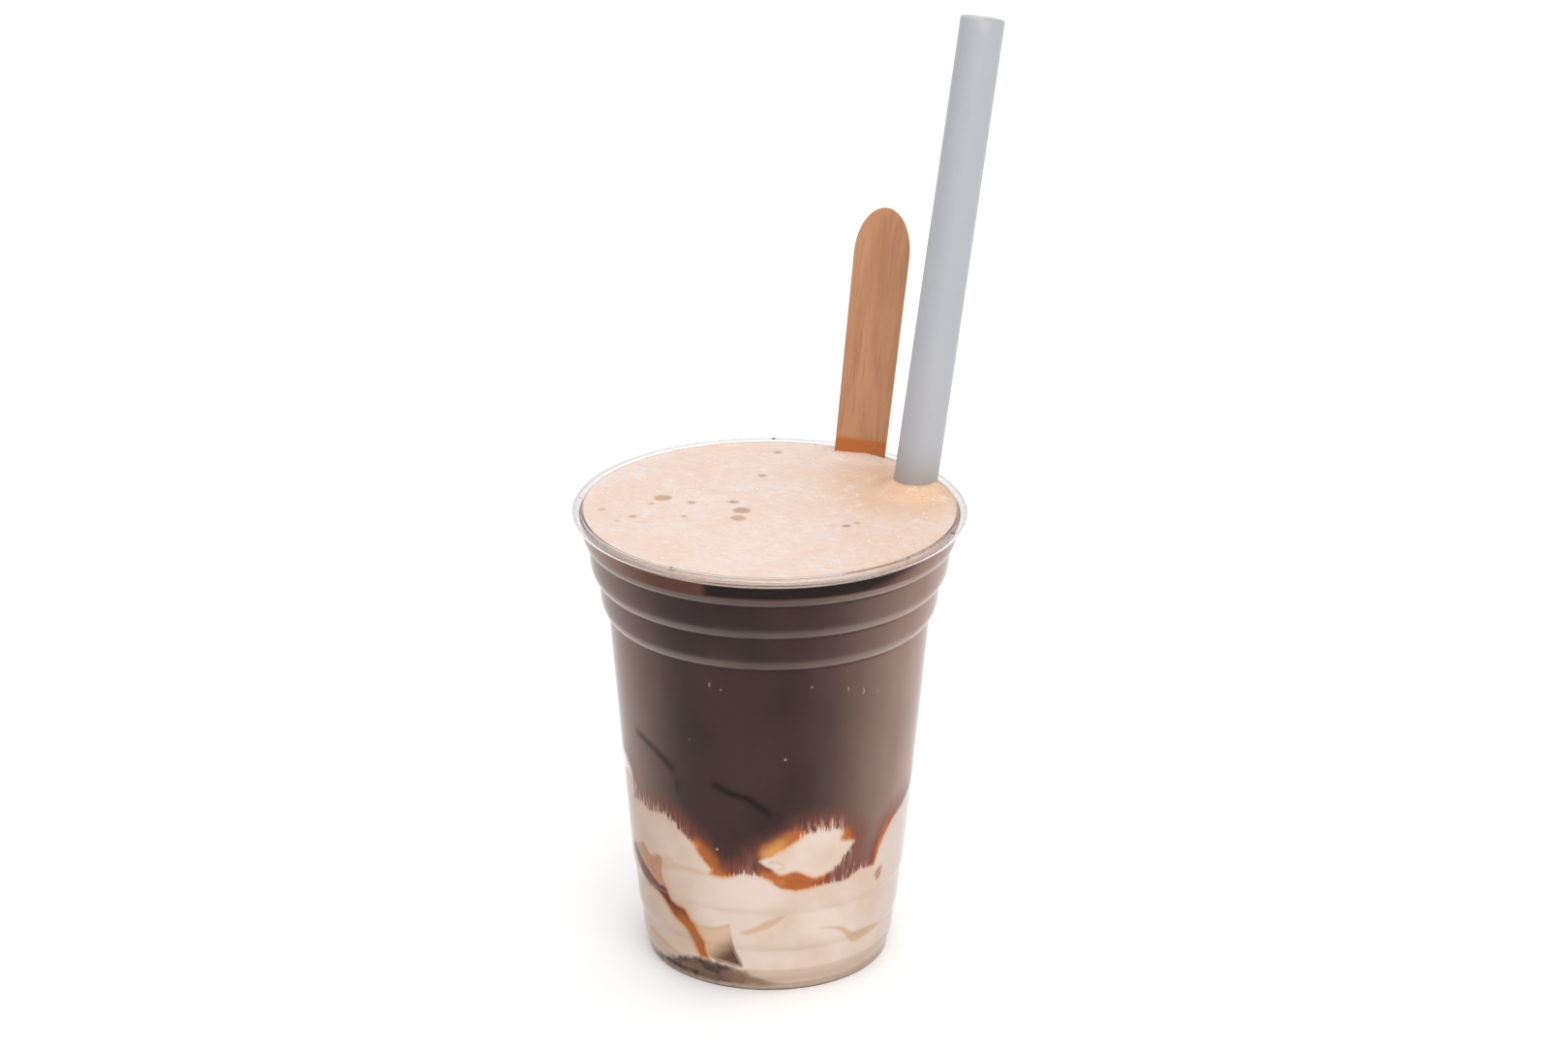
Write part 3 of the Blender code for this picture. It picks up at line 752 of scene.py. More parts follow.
def stainGroup():
    # colour of what lies against the wall, from pale ice cream through browned fringes to dark coffee
    inputs = (
        ("Hair length", "NodeSocketFloat", 7.5),
        ("Edge wander", "NodeSocketFloat", 1.0),
        ("Fringe softness", "NodeSocketFloat", 1.0),
    )
    tree, given, made = newGroup("wall stain", inputs, (("Color", "NodeSocketColor"),))
    wander = minus(tree, grain(tree, 420, detail=3.0), 0.5)
    wander = times(tree, wander, given["Edge wander"])
    threads = grain(tree, 1800, stretch=(1, 1, 0.06), detail=2.0, roughness=0.6)
    fine = grain(tree, 2600, stretch=(1, 1, 0.05), detail=2.0, roughness=0.6)
    stripes = grain(tree, 1250, stretch=(1, 1, 0.05), detail=1.0)
    wisp = grain(tree, 1100, stretch=(1, 1, 0.16), detail=2.0)
    hair = field(tree, "hair")
    height = field(tree, "height")
    across = objectPlace(tree)[0]
    edge = plus(tree, field(tree, "edge"), wander)
    tall = plus(tree, ease(tree, threads, 0.5, 0.78), times(tree, ease(tree, fine, 0.5, 0.78), 0.35))
    lift = times(tree, times(tree, hair, tall), given["Hair length"])
    hairy = minus(tree, edge, lift)
    color = coffeeColor(tree, edge, wisp)
    drawn = times(tree, times(tree, hair, ease(tree, stripes, 0.48, 0.6)), 1.4)
    drawn = calc(tree, "MULTIPLY", drawn, less(tree, edge, 0.3, 5.0), clamp=True)
    color = blend(tree, drawn, color, stain["hair"])

    # caramel fringes, brighter further in
    glow = plus(tree, field(tree, "glow"), times(tree, wander, 0.8))
    glow = plus(tree, glow, times(tree, less(tree, edge, 0.2, 2.2), 0.25))
    glow = plus(tree, glow, times(tree, minus(tree, grain(tree, 260, detail=3.0), 0.5), 0.9))
    caramel = blend(tree, ease(tree, glow, 0.1, 0.55), stain["caramelDeep"], stain["caramelMid"])
    caramel = blend(tree, ease(tree, glow, 0.6, 1.35), caramel, stain["caramelBright"])
    caramelAway = plus(tree, field(tree, "caramel"), times(tree, wander, 1.6))
    caramelAway = calc(tree, "DIVIDE", caramelAway, given["Fringe softness"])
    fade = minus(tree, 1.0, times(tree, ease(tree, edge, 0.8, 5.0), 0.55))
    color = blend(tree, times(tree, less(tree, caramelAway, -1.0, 1.7), fade), color, caramel)

    # ice cream, a little darker at its own edge
    patch = grain(tree, 70, detail=3.0)
    cream = blend(tree, ease(tree, patch, 0.4, 0.75), stain["cream"], stain["creamShade"])
    cream = blend(tree, times(tree, ease(tree, edge, -1.4, 0.3), 0.4), cream, stain["creamShade"])
    # painted shade towards the left and right sides
    cream = blend(tree, times(tree, less(tree, across, -0.036, -0.016), 0.6), cream, stain["creamLeftShade"])
    cream = blend(tree, times(tree, ease(tree, across, 0.022, 0.034), 0.6), cream, stain["creamRightShade"])
    brown = times(tree, less(tree, caramelAway, 0.0, 1.6), ease(tree, edge, -1.0, 0.2))
    cream = blend(tree, times(tree, brown, 0.7), cream, stain["amber"])
    # painted shade low down, near the floor
    cream = blend(tree, times(tree, less(tree, height, 6.1, 6.9), 0.8), cream, stain["foot"])
    # painted tan shade in the folds
    cream = blend(tree, field(tree, "foldShade"), cream, stain["foldShadeTan"])
    # painted shade in the lower right of the hollow, with a painted shade line along its crease
    hollow = field(tree, "hollow")
    crease = plus(tree, field(tree, "crease"), times(tree, wander, 0.6))
    cream = blend(tree, less(tree, crease, -0.9, 0.1), cream, stain["tanPale"])
    cream = blend(tree, times(tree, hollow, less(tree, crease, -0.8, 0.0)), cream, stain["hollowShade"])
    line = times(tree, within(tree, crease, -0.3, 0.1, 0.25), ease(tree, hollow, 0.02, 0.5))
    cream = blend(tree, times(tree, line, 0.8), cream, stain["creaseShadeLine"])
    pocketAway = plus(tree, field(tree, "pocket"), times(tree, wander, 1.6))
    inPocket = blend(tree, ease(tree, threads, 0.58, 0.66), stain["pocket"], stain["pocketLine"])
    cream = blend(tree, times(tree, less(tree, pocketAway, -0.8, 0.5), 0.9), cream, inPocket)
    solid = less(tree, hairy, -0.4, 0.7)
    solid = times(tree, solid, minus(tree, 1.0, times(tree, ease(tree, edge, 0.2, 4.0), 0.75)))
    color = blend(tree, solid, color, cream)

    # the streak: a dark middle that turns orange lower down, with a soft halo
    streakAway = plus(tree, field(tree, "streak"), times(tree, wander, 1.1))
    lower = less(tree, plus(tree, height, times(tree, wander, 5.0)), 16.0, 22.0)
    middle = blend(tree, lower, stain["streakDark"], stain["streakOrange"])
    fringe = times(tree, ease(tree, streakAway, -0.7, 0.3), 0.75)
    core = blend(tree, fringe, middle, stain["streakOrange"])
    halo = times(tree, less(tree, streakAway, -0.2, 1.8), 0.7)
    color = blend(tree, times(tree, halo, less(tree, edge, 0.0, 1.0)), color, stain["streakHalo"])
    color = blend(tree, less(tree, streakAway, -0.7, 0.5), color, core)

    # the pool at the foot
    poolAway = plus(tree, field(tree, "pool"), times(tree, wander, 2.6))
    murk = plus(tree, grain(tree, 260, detail=3.0), times(tree, less(tree, across, -0.026, -0.014), 0.12))
    pool = blend(tree, ease(tree, murk, 0.46, 0.62), stain["pool"], stain["poolDark"])
    pool = blend(tree, ease(tree, across, -0.012, -0.002), pool, stain["poolPale"])
    color = blend(tree, times(tree, less(tree, poolAway, -1.3, 0.6), 0.94), color, pool)
    feed(tree, made["Color"], color)
    return tree


def fillingMaterial(name, group, roughness, haze):
    material, tree, shader = newMaterial(name)
    colour = placeGroup(tree, group, {"Hair length": 7.5, "Edge wander": 1.0, "Fringe softness": 1.0})
    feed(tree, shader.inputs["Base Color"], colour["Color"])
    shader.inputs["Roughness"].default_value = roughness
    shader.inputs["Specular IOR Level"].default_value = 0.0  # the clear wall over it has the gloss
    shader.inputs["Sheen Weight"].default_value = haze
    shader.inputs["Sheen Roughness"].default_value = 0.35
    shader.inputs["Sheen Tint"].default_value = toLinear(255, 216, 202)
    return material


stainNodes = stainGroup()
iceCreamBody = makeIceCream(fillingMaterial("vanilla ice cream", stainNodes, 0.6, 0.2))
coffeeBody = makeCoffee(fillingMaterial("coffee", stainNodes, 0.5, 1.0))
print("ice cream and coffee made")


# Foam

strawPlace = (36.05, 14.0)  # where the straw and the stick come up through it
stickPlace = (22.6, 36.2)
stickTurn = -12
foam = {
    "bottom": 115.45,
    "top": 117.7,
    "edge": 46.55,
    "cling": 0.45,  # how far it climbs the wall
    "strawRise": 3.0,
    "strawHalf": 5.5,
    "stickRise": 1.6,
    "stickHalf": (7.0, 0.9),
    "riseReach": 5.5,
    "collarFade": 4.0,  # the collars fade out this near the wall
    "clingReach": 0.9,
    "relief": 0.10,
    "ringPower": 0.85,  # rings lie closer near the wall
    "sidePale": 6.0,  # its side is coloured as if this far from the wall
    "rings": 110,
    "sides": 330,
    "spots": (  # thin brown places: x, y, radius
        (-26.7, 7.3, 1.95), (-29.5, 3.3, 0.73), (-33.8, -5.3, 0.98), (-19.5, 4.1, 0.98), (-9.1, 4.9, 1.22),
        (-6.9, -1.0, 1.95), (-7.8, -6.2, 1.71), (-41.4, -0.9, 0.85), (-2.0, 23.2, 0.98), (18.8, -11.0, 0.98),
        (21.5, -9.0, 0.73), (1.8, 39.9, 0.98), (-37.5, -8.7, 0.61), (-21.2, -5.1, 0.61),
    ),
    "spotGrow": 1.2,
    "spotFlat": 1.1,  # they lie longer across than deep
    "bubbles": {"Density": 160000.0, "Smallest": 0.00012, "Largest": 0.0005, "Flatness": 0.6, "Seed": 4},
}


def collar(away):
    # how high foam stands this far from what it clings to, 1 against it
    return np.exp(-3 * (away / foam["riseReach"]) ** 2)


def foamHeights(x, y):
    top = np.full(x.shape, foam["top"])
    away = np.maximum(np.hypot(x - strawPlace[0], y - strawPlace[1]) - foam["strawHalf"], 0)
    top += foam["strawRise"] * collar(away)
    turn = math.radians(stickTurn)
    offX, offY = x - stickPlace[0], y - stickPlace[1]
    along = np.abs(offX * math.cos(turn) + offY * math.sin(turn)) - foam["stickHalf"][0]
    across = np.abs(offY * math.cos(turn) - offX * math.sin(turn)) - foam["stickHalf"][1]
    away = np.hypot(np.maximum(along, 0), np.maximum(across, 0))
    top += foam["stickRise"] * collar(away)
    return top


def makeFoam(material):
    parts = ((np.arange(foam["rings"]) + 1) / foam["rings"]) ** foam["ringPower"]
    turns = np.arange(foam["sides"]) * 2 * math.pi / foam["sides"]
    radius = foam["edge"] * parts[::-1][:, None]
    x, y = radius * np.sin(turns), -radius * np.cos(turns)
    level = foam["top"]
    fade = smoothStep(foam["edge"] - radius + 0 * turns, 0.0, foam["collarFade"])
    z = level + (foamHeights(x, y) - level) * fade
    z += foam["cling"] * np.exp(-(foam["edge"] - radius) / foam["clingReach"])
    relief = np.array([
        noise.noise(Vector((a * 0.35, b * 0.35, 1.7))) + 0.5 * noise.noise(Vector((a * 1.1, b * 1.1, 5.1)))
        for a, b in zip(x.reshape(-1), y.reshape(-1))
    ]).reshape(x.shape)
    z += foam["relief"] * relief
    upper = np.stack([x, y, z], axis=2)
    edge = foam["edge"]
    foot = np.stack([edge * np.sin(turns), -edge * np.cos(turns), 0 * turns + foam["bottom"]], axis=1)
    rings = np.concatenate([foot[None], upper])
    centre = float(z[-1].mean())
    piece = ringSurface("foamCap", rings, material, (0, 0, foam["bottom"]), (0, 0, centre))
    placeX, placeY = rings[:, :, 0], rings[:, :, 1]
    spot = np.full(placeX.shape, 9.0)
    for x, y, size in foam["spots"]:
        away = np.hypot(placeX - x, (placeY - y) * foam["spotFlat"])
        spot = np.minimum(spot, away - size * foam["spotGrow"])
    fromStraw = np.hypot(placeX - strawPlace[0], placeY - strawPlace[1])
    fromStick = np.hypot((placeX - stickPlace[0]) * 0.6, placeY - stickPlace[1])
    fromWall = edge - np.hypot(placeX, placeY)
    fromWall[0] = foam["sidePale"]
    feet = np.exp(-((fromStraw - 6.5) / 2.2) ** 2) + np.exp(-((fromStick - 2.5) / 2.0) ** 2)
    setField(piece, "spot", spot)
    setField(piece, "warm", np.exp(-(fromStraw / 20) ** 2))
    setField(piece, "fromWall", fromWall)
    setField(piece, "front", smoothStep(-placeY, -12, 16))
    setField(piece, "bubbly", 0.25 + 2.2 * feet + 0.5 * np.exp(-fromWall / 2))
    return piece


def foamMaterial():
    material, tree, shader = newMaterial("coffee foam")
    coarse = grain(tree, 70, detail=4.0, roughness=0.6)
    fine = grain(tree, 380, stretch=(1, 1.5, 1), detail=3.0, roughness=0.6)
    pores = ease(tree, grain(tree, 1500, detail=2.0), 0.56, 0.72)
    color = blend(tree, ease(tree, coarse, 0.35, 0.65), toLinear(212, 196, 188), toLinear(213, 188, 173))
    warm = times(tree, field(tree, "warm"), plus(tree, coarse, 0.35))
    color = blend(tree, warm, color, toLinear(208, 168, 130))
    color = blend(tree, times(tree, ease(tree, fine, 0.42, 0.7), 0.5), color, toLinear(208, 177, 154))
    pale = ease(tree, grain(tree, 420, stretch=(1, 1.5, 1), detail=2.0, shift=(7, 0, 0)), 0.55, 0.7)
    color = blend(tree, times(tree, pale, 0.5), color, toLinear(222, 206, 194))
    color = blend(tree, times(tree, pores, 0.2), color, toLinear(192, 156, 130))
    spotEdge = plus(tree, field(tree, "spot"), minus(tree, fine, 0.5))
    spotted = times(tree, less(tree, spotEdge, -0.8, 0.5), 0.92)
    tone = blend(tree, ease(tree, coarse, 0.45, 0.6), toLinear(160, 136, 122), toLinear(184, 142, 110))
    color = blend(tree, spotted, color, tone)
    # painted shade along the gap where the foam meets the wall, at the front
    wallGapShade = less(tree, field(tree, "fromWall"), 0.3, 0.6)
    color = blend(tree, times(tree, wallGapShade, field(tree, "front")), color, toLinear(92, 66, 56))
    feed(tree, shader.inputs["Base Color"], color)
    shader.inputs["Roughness"].default_value = 0.42
    height = minus(tree, fine, times(tree, pores, 0.3))
    inputs = {"Height": height, "Strength": 0.3, "Distance": 0.0003}
    feed(tree, shader.inputs["Normal"], addNode(tree, "ShaderNodeBump", inputs).outputs[0])
    return material


def bubbleTree():
    # small bubbles strewn over a surface, thicker where its "bubbly" field is high
    tree = bpy.data.node_groups.new("strewn bubbles", "GeometryNodeTree")
    sockets = {}
    for label, kind, value in (
        ("Geometry", "NodeSocketGeometry", None),
        ("Density", "NodeSocketFloat", 1.0),
        ("Smallest", "NodeSocketFloat", 0.1),
        ("Largest", "NodeSocketFloat", 0.3),
        ("Flatness", "NodeSocketFloat", 0.6),
        ("Seed", "NodeSocketInt", 1),
        ("Material", "NodeSocketMaterial", None),
    ):
        socket = tree.interface.new_socket(label, in_out="INPUT", socket_type=kind)
        if value is not None:
            socket.default_value = value
        sockets[label] = socket.identifier
    tree.interface.new_socket("Geometry", in_out="OUTPUT", socket_type="NodeSocketGeometry")
    given = tree.nodes.new("NodeGroupInput").outputs
    made = tree.nodes.new("NodeGroupOutput").inputs
    normal = addNode(tree, "GeometryNodeInputNormal").outputs[0]
    up = addNode(tree, "ShaderNodeSeparateXYZ", {0: normal}).outputs[2]
    upward = addNode(tree, "FunctionNodeCompare", {0: up, 1: 0.5}, operation="GREATER_THAN").outputs[0]
    inputs = {"Name": "bubbly"}
    bubbly = addNode(tree, "GeometryNodeInputNamedAttribute", inputs, data_type="FLOAT").outputs[0]
    density = times(tree, given["Density"], bubbly)
    inputs = {"Mesh": given["Geometry"], "Selection": upward, "Density": density, "Seed": given["Seed"]}
    points = addNode(tree, "GeometryNodeDistributePointsOnFaces", inputs).outputs
    inputs = {"Radius": 1.0, "Subdivisions": 2}
    ball = addNode(tree, "GeometryNodeMeshIcoSphere", inputs).outputs[0]
    draw = addNode(tree, "FunctionNodeRandomValue", {"Seed": given["Seed"]}, data_type="FLOAT").outputs[1]
    spread = minus(tree, given["Largest"], given["Smallest"])
    size = times(tree, calc(tree, "POWER", draw, 3.0), spread)
    size = plus(tree, size, given["Smallest"])
    height = times(tree, size, given["Flatness"])
    scale = addNode(tree, "ShaderNodeCombineXYZ", {0: size, 1: size, 2: height}).outputs[0]
    inputs = {"Points": points["Points"], "Instance": ball, "Scale": scale}
    placed = addNode(tree, "GeometryNodeInstanceOnPoints", inputs).outputs[0]
    real = addNode(tree, "GeometryNodeRealizeInstances", {0: placed}).outputs[0]
    smooth = addNode(tree, "GeometryNodeSetShadeSmooth", {0: real}).outputs[0]
    inputs = {"Geometry": smooth, "Material": given["Material"]}
    tree.links.new(addNode(tree, "GeometryNodeSetMaterial", inputs).outputs[0], made["Geometry"])
    return tree, sockets


def strewBubbles(name, over, material, settings):
    tree, sockets = bubbleTree()
    base = newObject(name + "Base", over.data.copy())
    modifier = base.modifiers.new("bubbles", "NODES")
    modifier.node_group = tree
    for label, value in settings.items():
        modifier[sockets[label]] = value
    modifier[sockets["Material"]] = material
    evaluated = base.evaluated_get(bpy.context.evaluated_depsgraph_get())
    mesh = bpy.data.meshes.new_from_object(evaluated)
    mesh.name = name
    bpy.data.objects.remove(base)
    piece = newObject(name, mesh)
    mesh.materials.clear()
    mesh.materials.append(material)
    return piece


def bubbleMaterial():
    material, tree, shader = newMaterial("foam bubbles")
    tone = grain(tree, 300, detail=1.0)
    color = blend(tree, tone, toLinear(212, 190, 174), toLinear(226, 210, 198))
    feed(tree, shader.inputs["Base Color"], color)
    shader.inputs["Roughness"].default_value = 0.16
    shader.inputs["Coat Weight"].default_value = 0.6
    shader.inputs["Coat Roughness"].default_value = 0.05
    return material


foamCap = makeFoam(foamMaterial())
foamBubbles = strewBubbles("foamBubbles", foamCap, bubbleMaterial(), foam["bubbles"])
print("foam made")


# Straw

straw = {
    "at": (*strawPlace, foam["top"]),
    "lean": (0.1325, 0.158, 1.0),
    "radius": 5.5,
    "wall": 0.4,
    "top": 234.3,
    "foot": 2.9,
    "round": 0.15,
    "wetReach": 10.0,
    "sides": 96,
    "levels": 70,
}


def makeStraw(material):
    lean = np.array(straw["lean"])
    axis = lean / np.linalg.norm(lean)
    across = np.cross(axis, (0, 1, 0))
    across /= np.linalg.norm(across)
    beyond = np.cross(axis, across)
    turns = np.arange(straw["sides"]) * 2 * math.pi / straw["sides"]
    circle = np.cos(turns)[:, None] * across + np.sin(turns)[:, None] * beyond
    outer, bore, soft = straw["radius"], straw["radius"] - straw["wall"], straw["round"]
    heights = np.linspace(straw["foot"] + soft, straw["top"] - soft, straw["levels"])
    levels = [(outer - soft, straw["foot"])] + [(outer, h) for h in heights]
    levels += [(outer - soft, straw["top"]), (bore + soft * 0.4, straw["top"])]
    levels += [(bore, h) for h in heights[::-1]] + [(bore + soft * 0.4, straw["foot"])]
    rings = []
    for radius, height in levels:
        centre = np.array(straw["at"]) + lean * (height - straw["at"][2])
        rings.append(centre + radius * circle)
    rings.append(rings[0])
    piece = ringSurface("strawTube", np.array(rings), material)
    inner = np.array([[radius < outer - soft * 1.5] for radius, _ in levels] + [[False]]) + 0.0 * turns
    setField(piece, "bore", inner)
    bm = bmesh.new()
    bm.from_mesh(piece.data)
    bmesh.ops.remove_doubles(bm, verts=bm.verts, dist=1e-6)
    bmesh.ops.recalc_face_normals(bm, faces=bm.faces)
    bm.to_mesh(piece.data)
    bm.free()
    return piece


def strawMaterial():
    material, tree, shader = newMaterial("pale blue-grey plastic")
    height = objectPlace(tree)[2]
    cloud = grain(tree, 40, stretch=(1, 1, 0.3), detail=2.0)
    color = blend(tree, ease(tree, cloud, 0.3, 0.7), toLinear(163, 163, 169), toLinear(158, 160, 165))
    low = foam["top"] + foam["strawRise"]
    wet = less(tree, height, low * mm, (low + straw["wetReach"]) * mm)
    color = blend(tree, times(tree, wet, 0.7), color, toLinear(146, 137, 124))
    color = blend(tree, times(tree, field(tree, "bore"), 0.85), color, toLinear(206, 202, 205))
    feed(tree, shader.inputs["Base Color"], color)
    shader.inputs["Roughness"].default_value = 0.38
    inputs = {"Height": grain(tree, 900, stretch=(1, 1, 0.05)), "Strength": 0.05, "Distance": 0.0002}
    feed(tree, shader.inputs["Normal"], addNode(tree, "ShaderNodeBump", inputs).outputs[0])
    return material


strawTube = makeStraw(strawMaterial())
print("straw made")


# Stirring stick

stick = {
    "at": (*stickPlace, foam["top"]),
    "lean": (0.104, 0.240, 1.0),
    "length": 160.0,
    "aboveFoam": 64.0,
    "topWidth": 14.2,
    "footWidth": 11.0,
    "thickness": 1.8,
    "endLength": 12.0,
    "endSteps": 16,
    "middleSteps": 60,
    "uvSize": 100,  # millimetres to one unit of UV
    "edge": 0.35,
    "wetTop": -59.0,
}


def stickFrame():
    along = Vector(stick["lean"]).normalized()
    turn = math.radians(stickTurn)
    across = Vector((math.cos(turn), math.sin(turn), 0))
    across = (across - along * across.dot(along)).normalized()
    made = Matrix((across, along.cross(across), along)).transposed().to_4x4()
    made.translation = Vector(stick["at"]) + along * stick["aboveFoam"]
    return made


def stickOutline():
    # half widths by place along the stick, foot to tip
    end = stick["endLength"]
    steps = [math.pi / 2 * k / stick["endSteps"] for k in range(stick["endSteps"] + 1)]
    footHalf, tipHalf = stick["footWidth"] / 2, stick["topWidth"] / 2
    foot = [(footHalf * math.sin(a), -stick["length"] + end * (1 - math.cos(a))) for a in steps]
    tip = [(tipHalf * math.sin(a), -end * (1 - math.cos(a))) for a in steps]
    middle = np.linspace(foot[-1][1], tip[-1][1], stick["middleSteps"])[1:-1]
    grow = np.interp(middle, (foot[-1][1], tip[-1][1]), (foot[-1][0], tip[-1][0]))
    return foot + list(zip(grow, middle)) + tip[::-1]


def makeStick(material):
    # cross sections of a flat bar with rounded edges, from the foot to the tip
    half, soft = stick["thickness"] / 2, stick["edge"]
    corners = []
    for sideX, sideY, start in ((1, 1, 0), (-1, 1, 90), (-1, -1, 180), (1, -1, 270)):
        for part in (0, 30, 60, 90):
            a = math.radians(start + part)
            corners.append((sideX, sideY * (half - soft) + soft * math.sin(a), soft * math.cos(a)))
    rings = []
    for width, place in stickOutline()[1:-1]:
        inner = max(width - soft, 0.02)
        spread = min(width / soft, 1)
        rings.append([(side * inner + bulge * spread, depth, place) for side, depth, bulge in corners])
    rings = np.array(rings)
    piece = ringSurface("stirStick", rings, material, (0, 0, -stick["length"]), (0, 0, 0))
    uv = piece.data.uv_layers.new(name="along")
    places = [piece.data.vertices[loop.vertex_index].co for loop in piece.data.loops]
    unit = stick["uvSize"]
    uv.data.foreach_set("uv", [value for p in places for value in (p.x / mm / unit, p.z / mm / unit)])
    place = stickFrame()
    place.translation *= mm
    piece.data.transform(place)
    bm = bmesh.new()
    bm.from_mesh(piece.data)
    bmesh.ops.recalc_face_normals(bm, faces=bm.faces)
    bm.to_mesh(piece.data)
    bm.free()
    piece.data.set_sharp_from_angle(angle=math.radians(50))
    return piece


def birchMaterial():
    material, tree, shader = newMaterial("birch")
    place = addNode(tree, "ShaderNodeUVMap", uv_map="along").outputs[0]
    stretched = addNode(tree, "ShaderNodeMapping", {"Vector": place, "Scale": (60, 4, 1)}).outputs[0]
    inputs = {"Vector": stretched, "Scale": 1.6, "Detail": 5.0, "Roughness": 0.6, "Distortion": 0.4}
    lines = addNode(tree, "ShaderNodeTexNoise", inputs).outputs[0]
    broad = addNode(tree, "ShaderNodeMapping", {"Vector": place, "Scale": (14, 2.5, 1)}).outputs[0]
    inputs = {"Vector": broad, "Scale": 1.2, "Detail": 3.0}
    bands = addNode(tree, "ShaderNodeTexNoise", inputs).outputs[0]
    color = blend(tree, ease(tree, bands, 0.35, 0.7), toLinear(178, 128, 92), toLinear(162, 111, 74))
    color = blend(tree, times(tree, ease(tree, lines, 0.5, 0.75), 0.6), color, toLinear(144, 93, 60))
    split = addNode(tree, "ShaderNodeSeparateXYZ", {0: place}).outputs[1]
    wetEdge = plus(tree, split, times(tree, minus(tree, bands, 0.5), 0.01))
    wetTop = stick["wetTop"] / stick["uvSize"]
    wet = less(tree, wetEdge, wetTop - 0.008, wetTop + 0.006)
    color = blend(tree, wet, color, toLinear(172, 92, 26))
    feed(tree, shader.inputs["Base Color"], color)
    feed(tree, shader.inputs["Roughness"], minus(tree, 0.62, times(tree, wet, 0.3)))
    inputs = {"Height": lines, "Strength": 0.25, "Distance": 0.0002}
    feed(tree, shader.inputs["Normal"], addNode(tree, "ShaderNodeBump", inputs).outputs[0])
    return material


stirStick = makeStick(birchMaterial())
print("stick made")


# Bubbles against the wall with pale arcs as painted glints, and specks on the rim

small = {
    "depth": 0.16,  # how far into the wall they reach
    "thread": 0.10,
    # pale arcs that stand for painted glints on bubbles' rims
    "glintArcs": (  # angle, height, radius, how far round, turned by
        (-20.3, 86.2, 0.80, 110, 175), (28.3, 84.1, 0.95, 90, 5), (35.0, 82.6, 1.05, 140, -8),
        (16.3, 86.0, 0.70, 80, 150), (42.3, 81.2, 0.60, 100, 20), (-54.1, 28.3, 1.00, 300, 40),
        (-29.9, 69.8, 0.40, 80, 160), (112, 78.0, 0.90, 120, 10), (-118, 83.0, 0.80, 100, 170),
        (165, 81.0, 0.90, 130, 0), (-160, 74.0, 0.70, 100, 150),
    ),
    "dots": (  # angle, height, radius
        (6.4, 66.7, 0.32), (-20.7, 40.5, 0.34), (-17.1, 85.2, 0.20), (52, 79.0, 0.22), (97, 64.0, 0.30),
        (140, 70.0, 0.25), (-140, 67.0, 0.30), (-96, 72.0, 0.25), (178, 60.0, 0.28),
    ),
    "poolDots": (
        (-34.8, 5.9, 0.55), (-29.7, 6.7, 0.45), (-31.8, 7.6, 0.32), (-26.4, 7.3, 0.30), (-38.5, 5.4, 0.34),
        (-33.2, 4.4, 0.28), (-24.0, 6.2, 0.22), (-20.6, 5.4, 0.20),
    ),
    "specks": (  # angle, distance from the axis, radius
        (-30, 46.9, 0.42), (-28.6, 47.1, 0.25), (68.7, 48.0, 0.55), (45.4, 46.9, 0.30), (179.1, 48.0, 0.45),
        (-96, 47.4, 0.25), (131, 47.9, 0.35),
    ),
    "speckHeight": 118.35,
}


def placeOnWall(angle, height, across=0.0, up=0.0, out=0.0):
    high = height + up
    radius = float(insideRadius(np.array(high))) + small["depth"] + out
    turn = math.radians(angle) + across / radius
    return Vector((radius * math.sin(turn), -radius * math.cos(turn), high))


def addBall(bm, centre, size, squash, seed):
    # a lumpy ball, flattened along the direction it is squashed in
    made = bmesh.ops.create_icosphere(bm, subdivisions=2, radius=1.0)
    flat = squash.normalized()
    for vert in made["verts"]:
        bump = 1 + 0.25 * noise.noise(vert.co * 1.7 + Vector((seed, 0, 0)))
        place = vert.co * size * bump
        vert.co = centre + place - flat * place.dot(flat) * 0.55


def addGlintArc(bm, angle, height, size, span, turn):
    # a thin pale bent thread that tapers at both ends, a painted glint on a bubble's rim
    steps, sides = 14, 6
    rings = []
    for k in range(steps + 1):
        bend = math.radians(turn - span / 2 + span * k / steps)
        place = (size * math.cos(bend), size * math.sin(bend))
        thick = small["thread"] * (0.25 + 0.75 * math.sin(math.pi * k / steps))
        ring = []
        for j in range(sides):
            roll = 2 * math.pi * j / sides
            wide = thick * math.cos(roll)
            spot = placeOnWall(
                angle, height, place[0] + wide * math.cos(bend), place[1] + wide * math.sin(bend),
                thick * 0.6 * math.sin(roll),
            )
            ring.append(bm.verts.new(spot))
        rings.append(ring)
    for low, high in zip(rings, rings[1:]):
        for j in range(sides):
            bm.faces.new((low[j], low[(j + 1) % sides], high[(j + 1) % sides], high[j]))
    bm.faces.new(rings[0][::-1])
    bm.faces.new(rings[-1])


def finishSmall(name, bm, material):
    bmesh.ops.recalc_face_normals(bm, faces=bm.faces)
    bmesh.ops.scale(bm, vec=(mm, mm, mm), verts=bm.verts)
    mesh = bpy.data.meshes.new(name)
    bm.to_mesh(mesh)
    bm.free()
    mesh.shade_smooth()
    return newObject(name, mesh, material)


def speckledMaterial(name, dark, pale, roughness):
    material, tree, shader = newMaterial(name)
    feed(tree, shader.inputs["Base Color"], blend(tree, grain(tree, 900, detail=2.0), dark, pale))
    shader.inputs["Roughness"].default_value = roughness
    return material


def makeWallBubbles():
    bm = bmesh.new()
    for glintArc in small["glintArcs"]:
        addGlintArc(bm, *glintArc)
    for seed, (angle, height, size) in enumerate(small["dots"]):
        centre = placeOnWall(angle, height, out=-size * 0.3)
        addBall(bm, centre, size, Vector((centre.x, centre.y, 0)), seed)
    material = speckledMaterial("wall bubbles and painted glints", toLinear(150, 128, 118), toLinear(206, 186, 172), 0.3)
    return finishSmall("wallBubbles", bm, material)


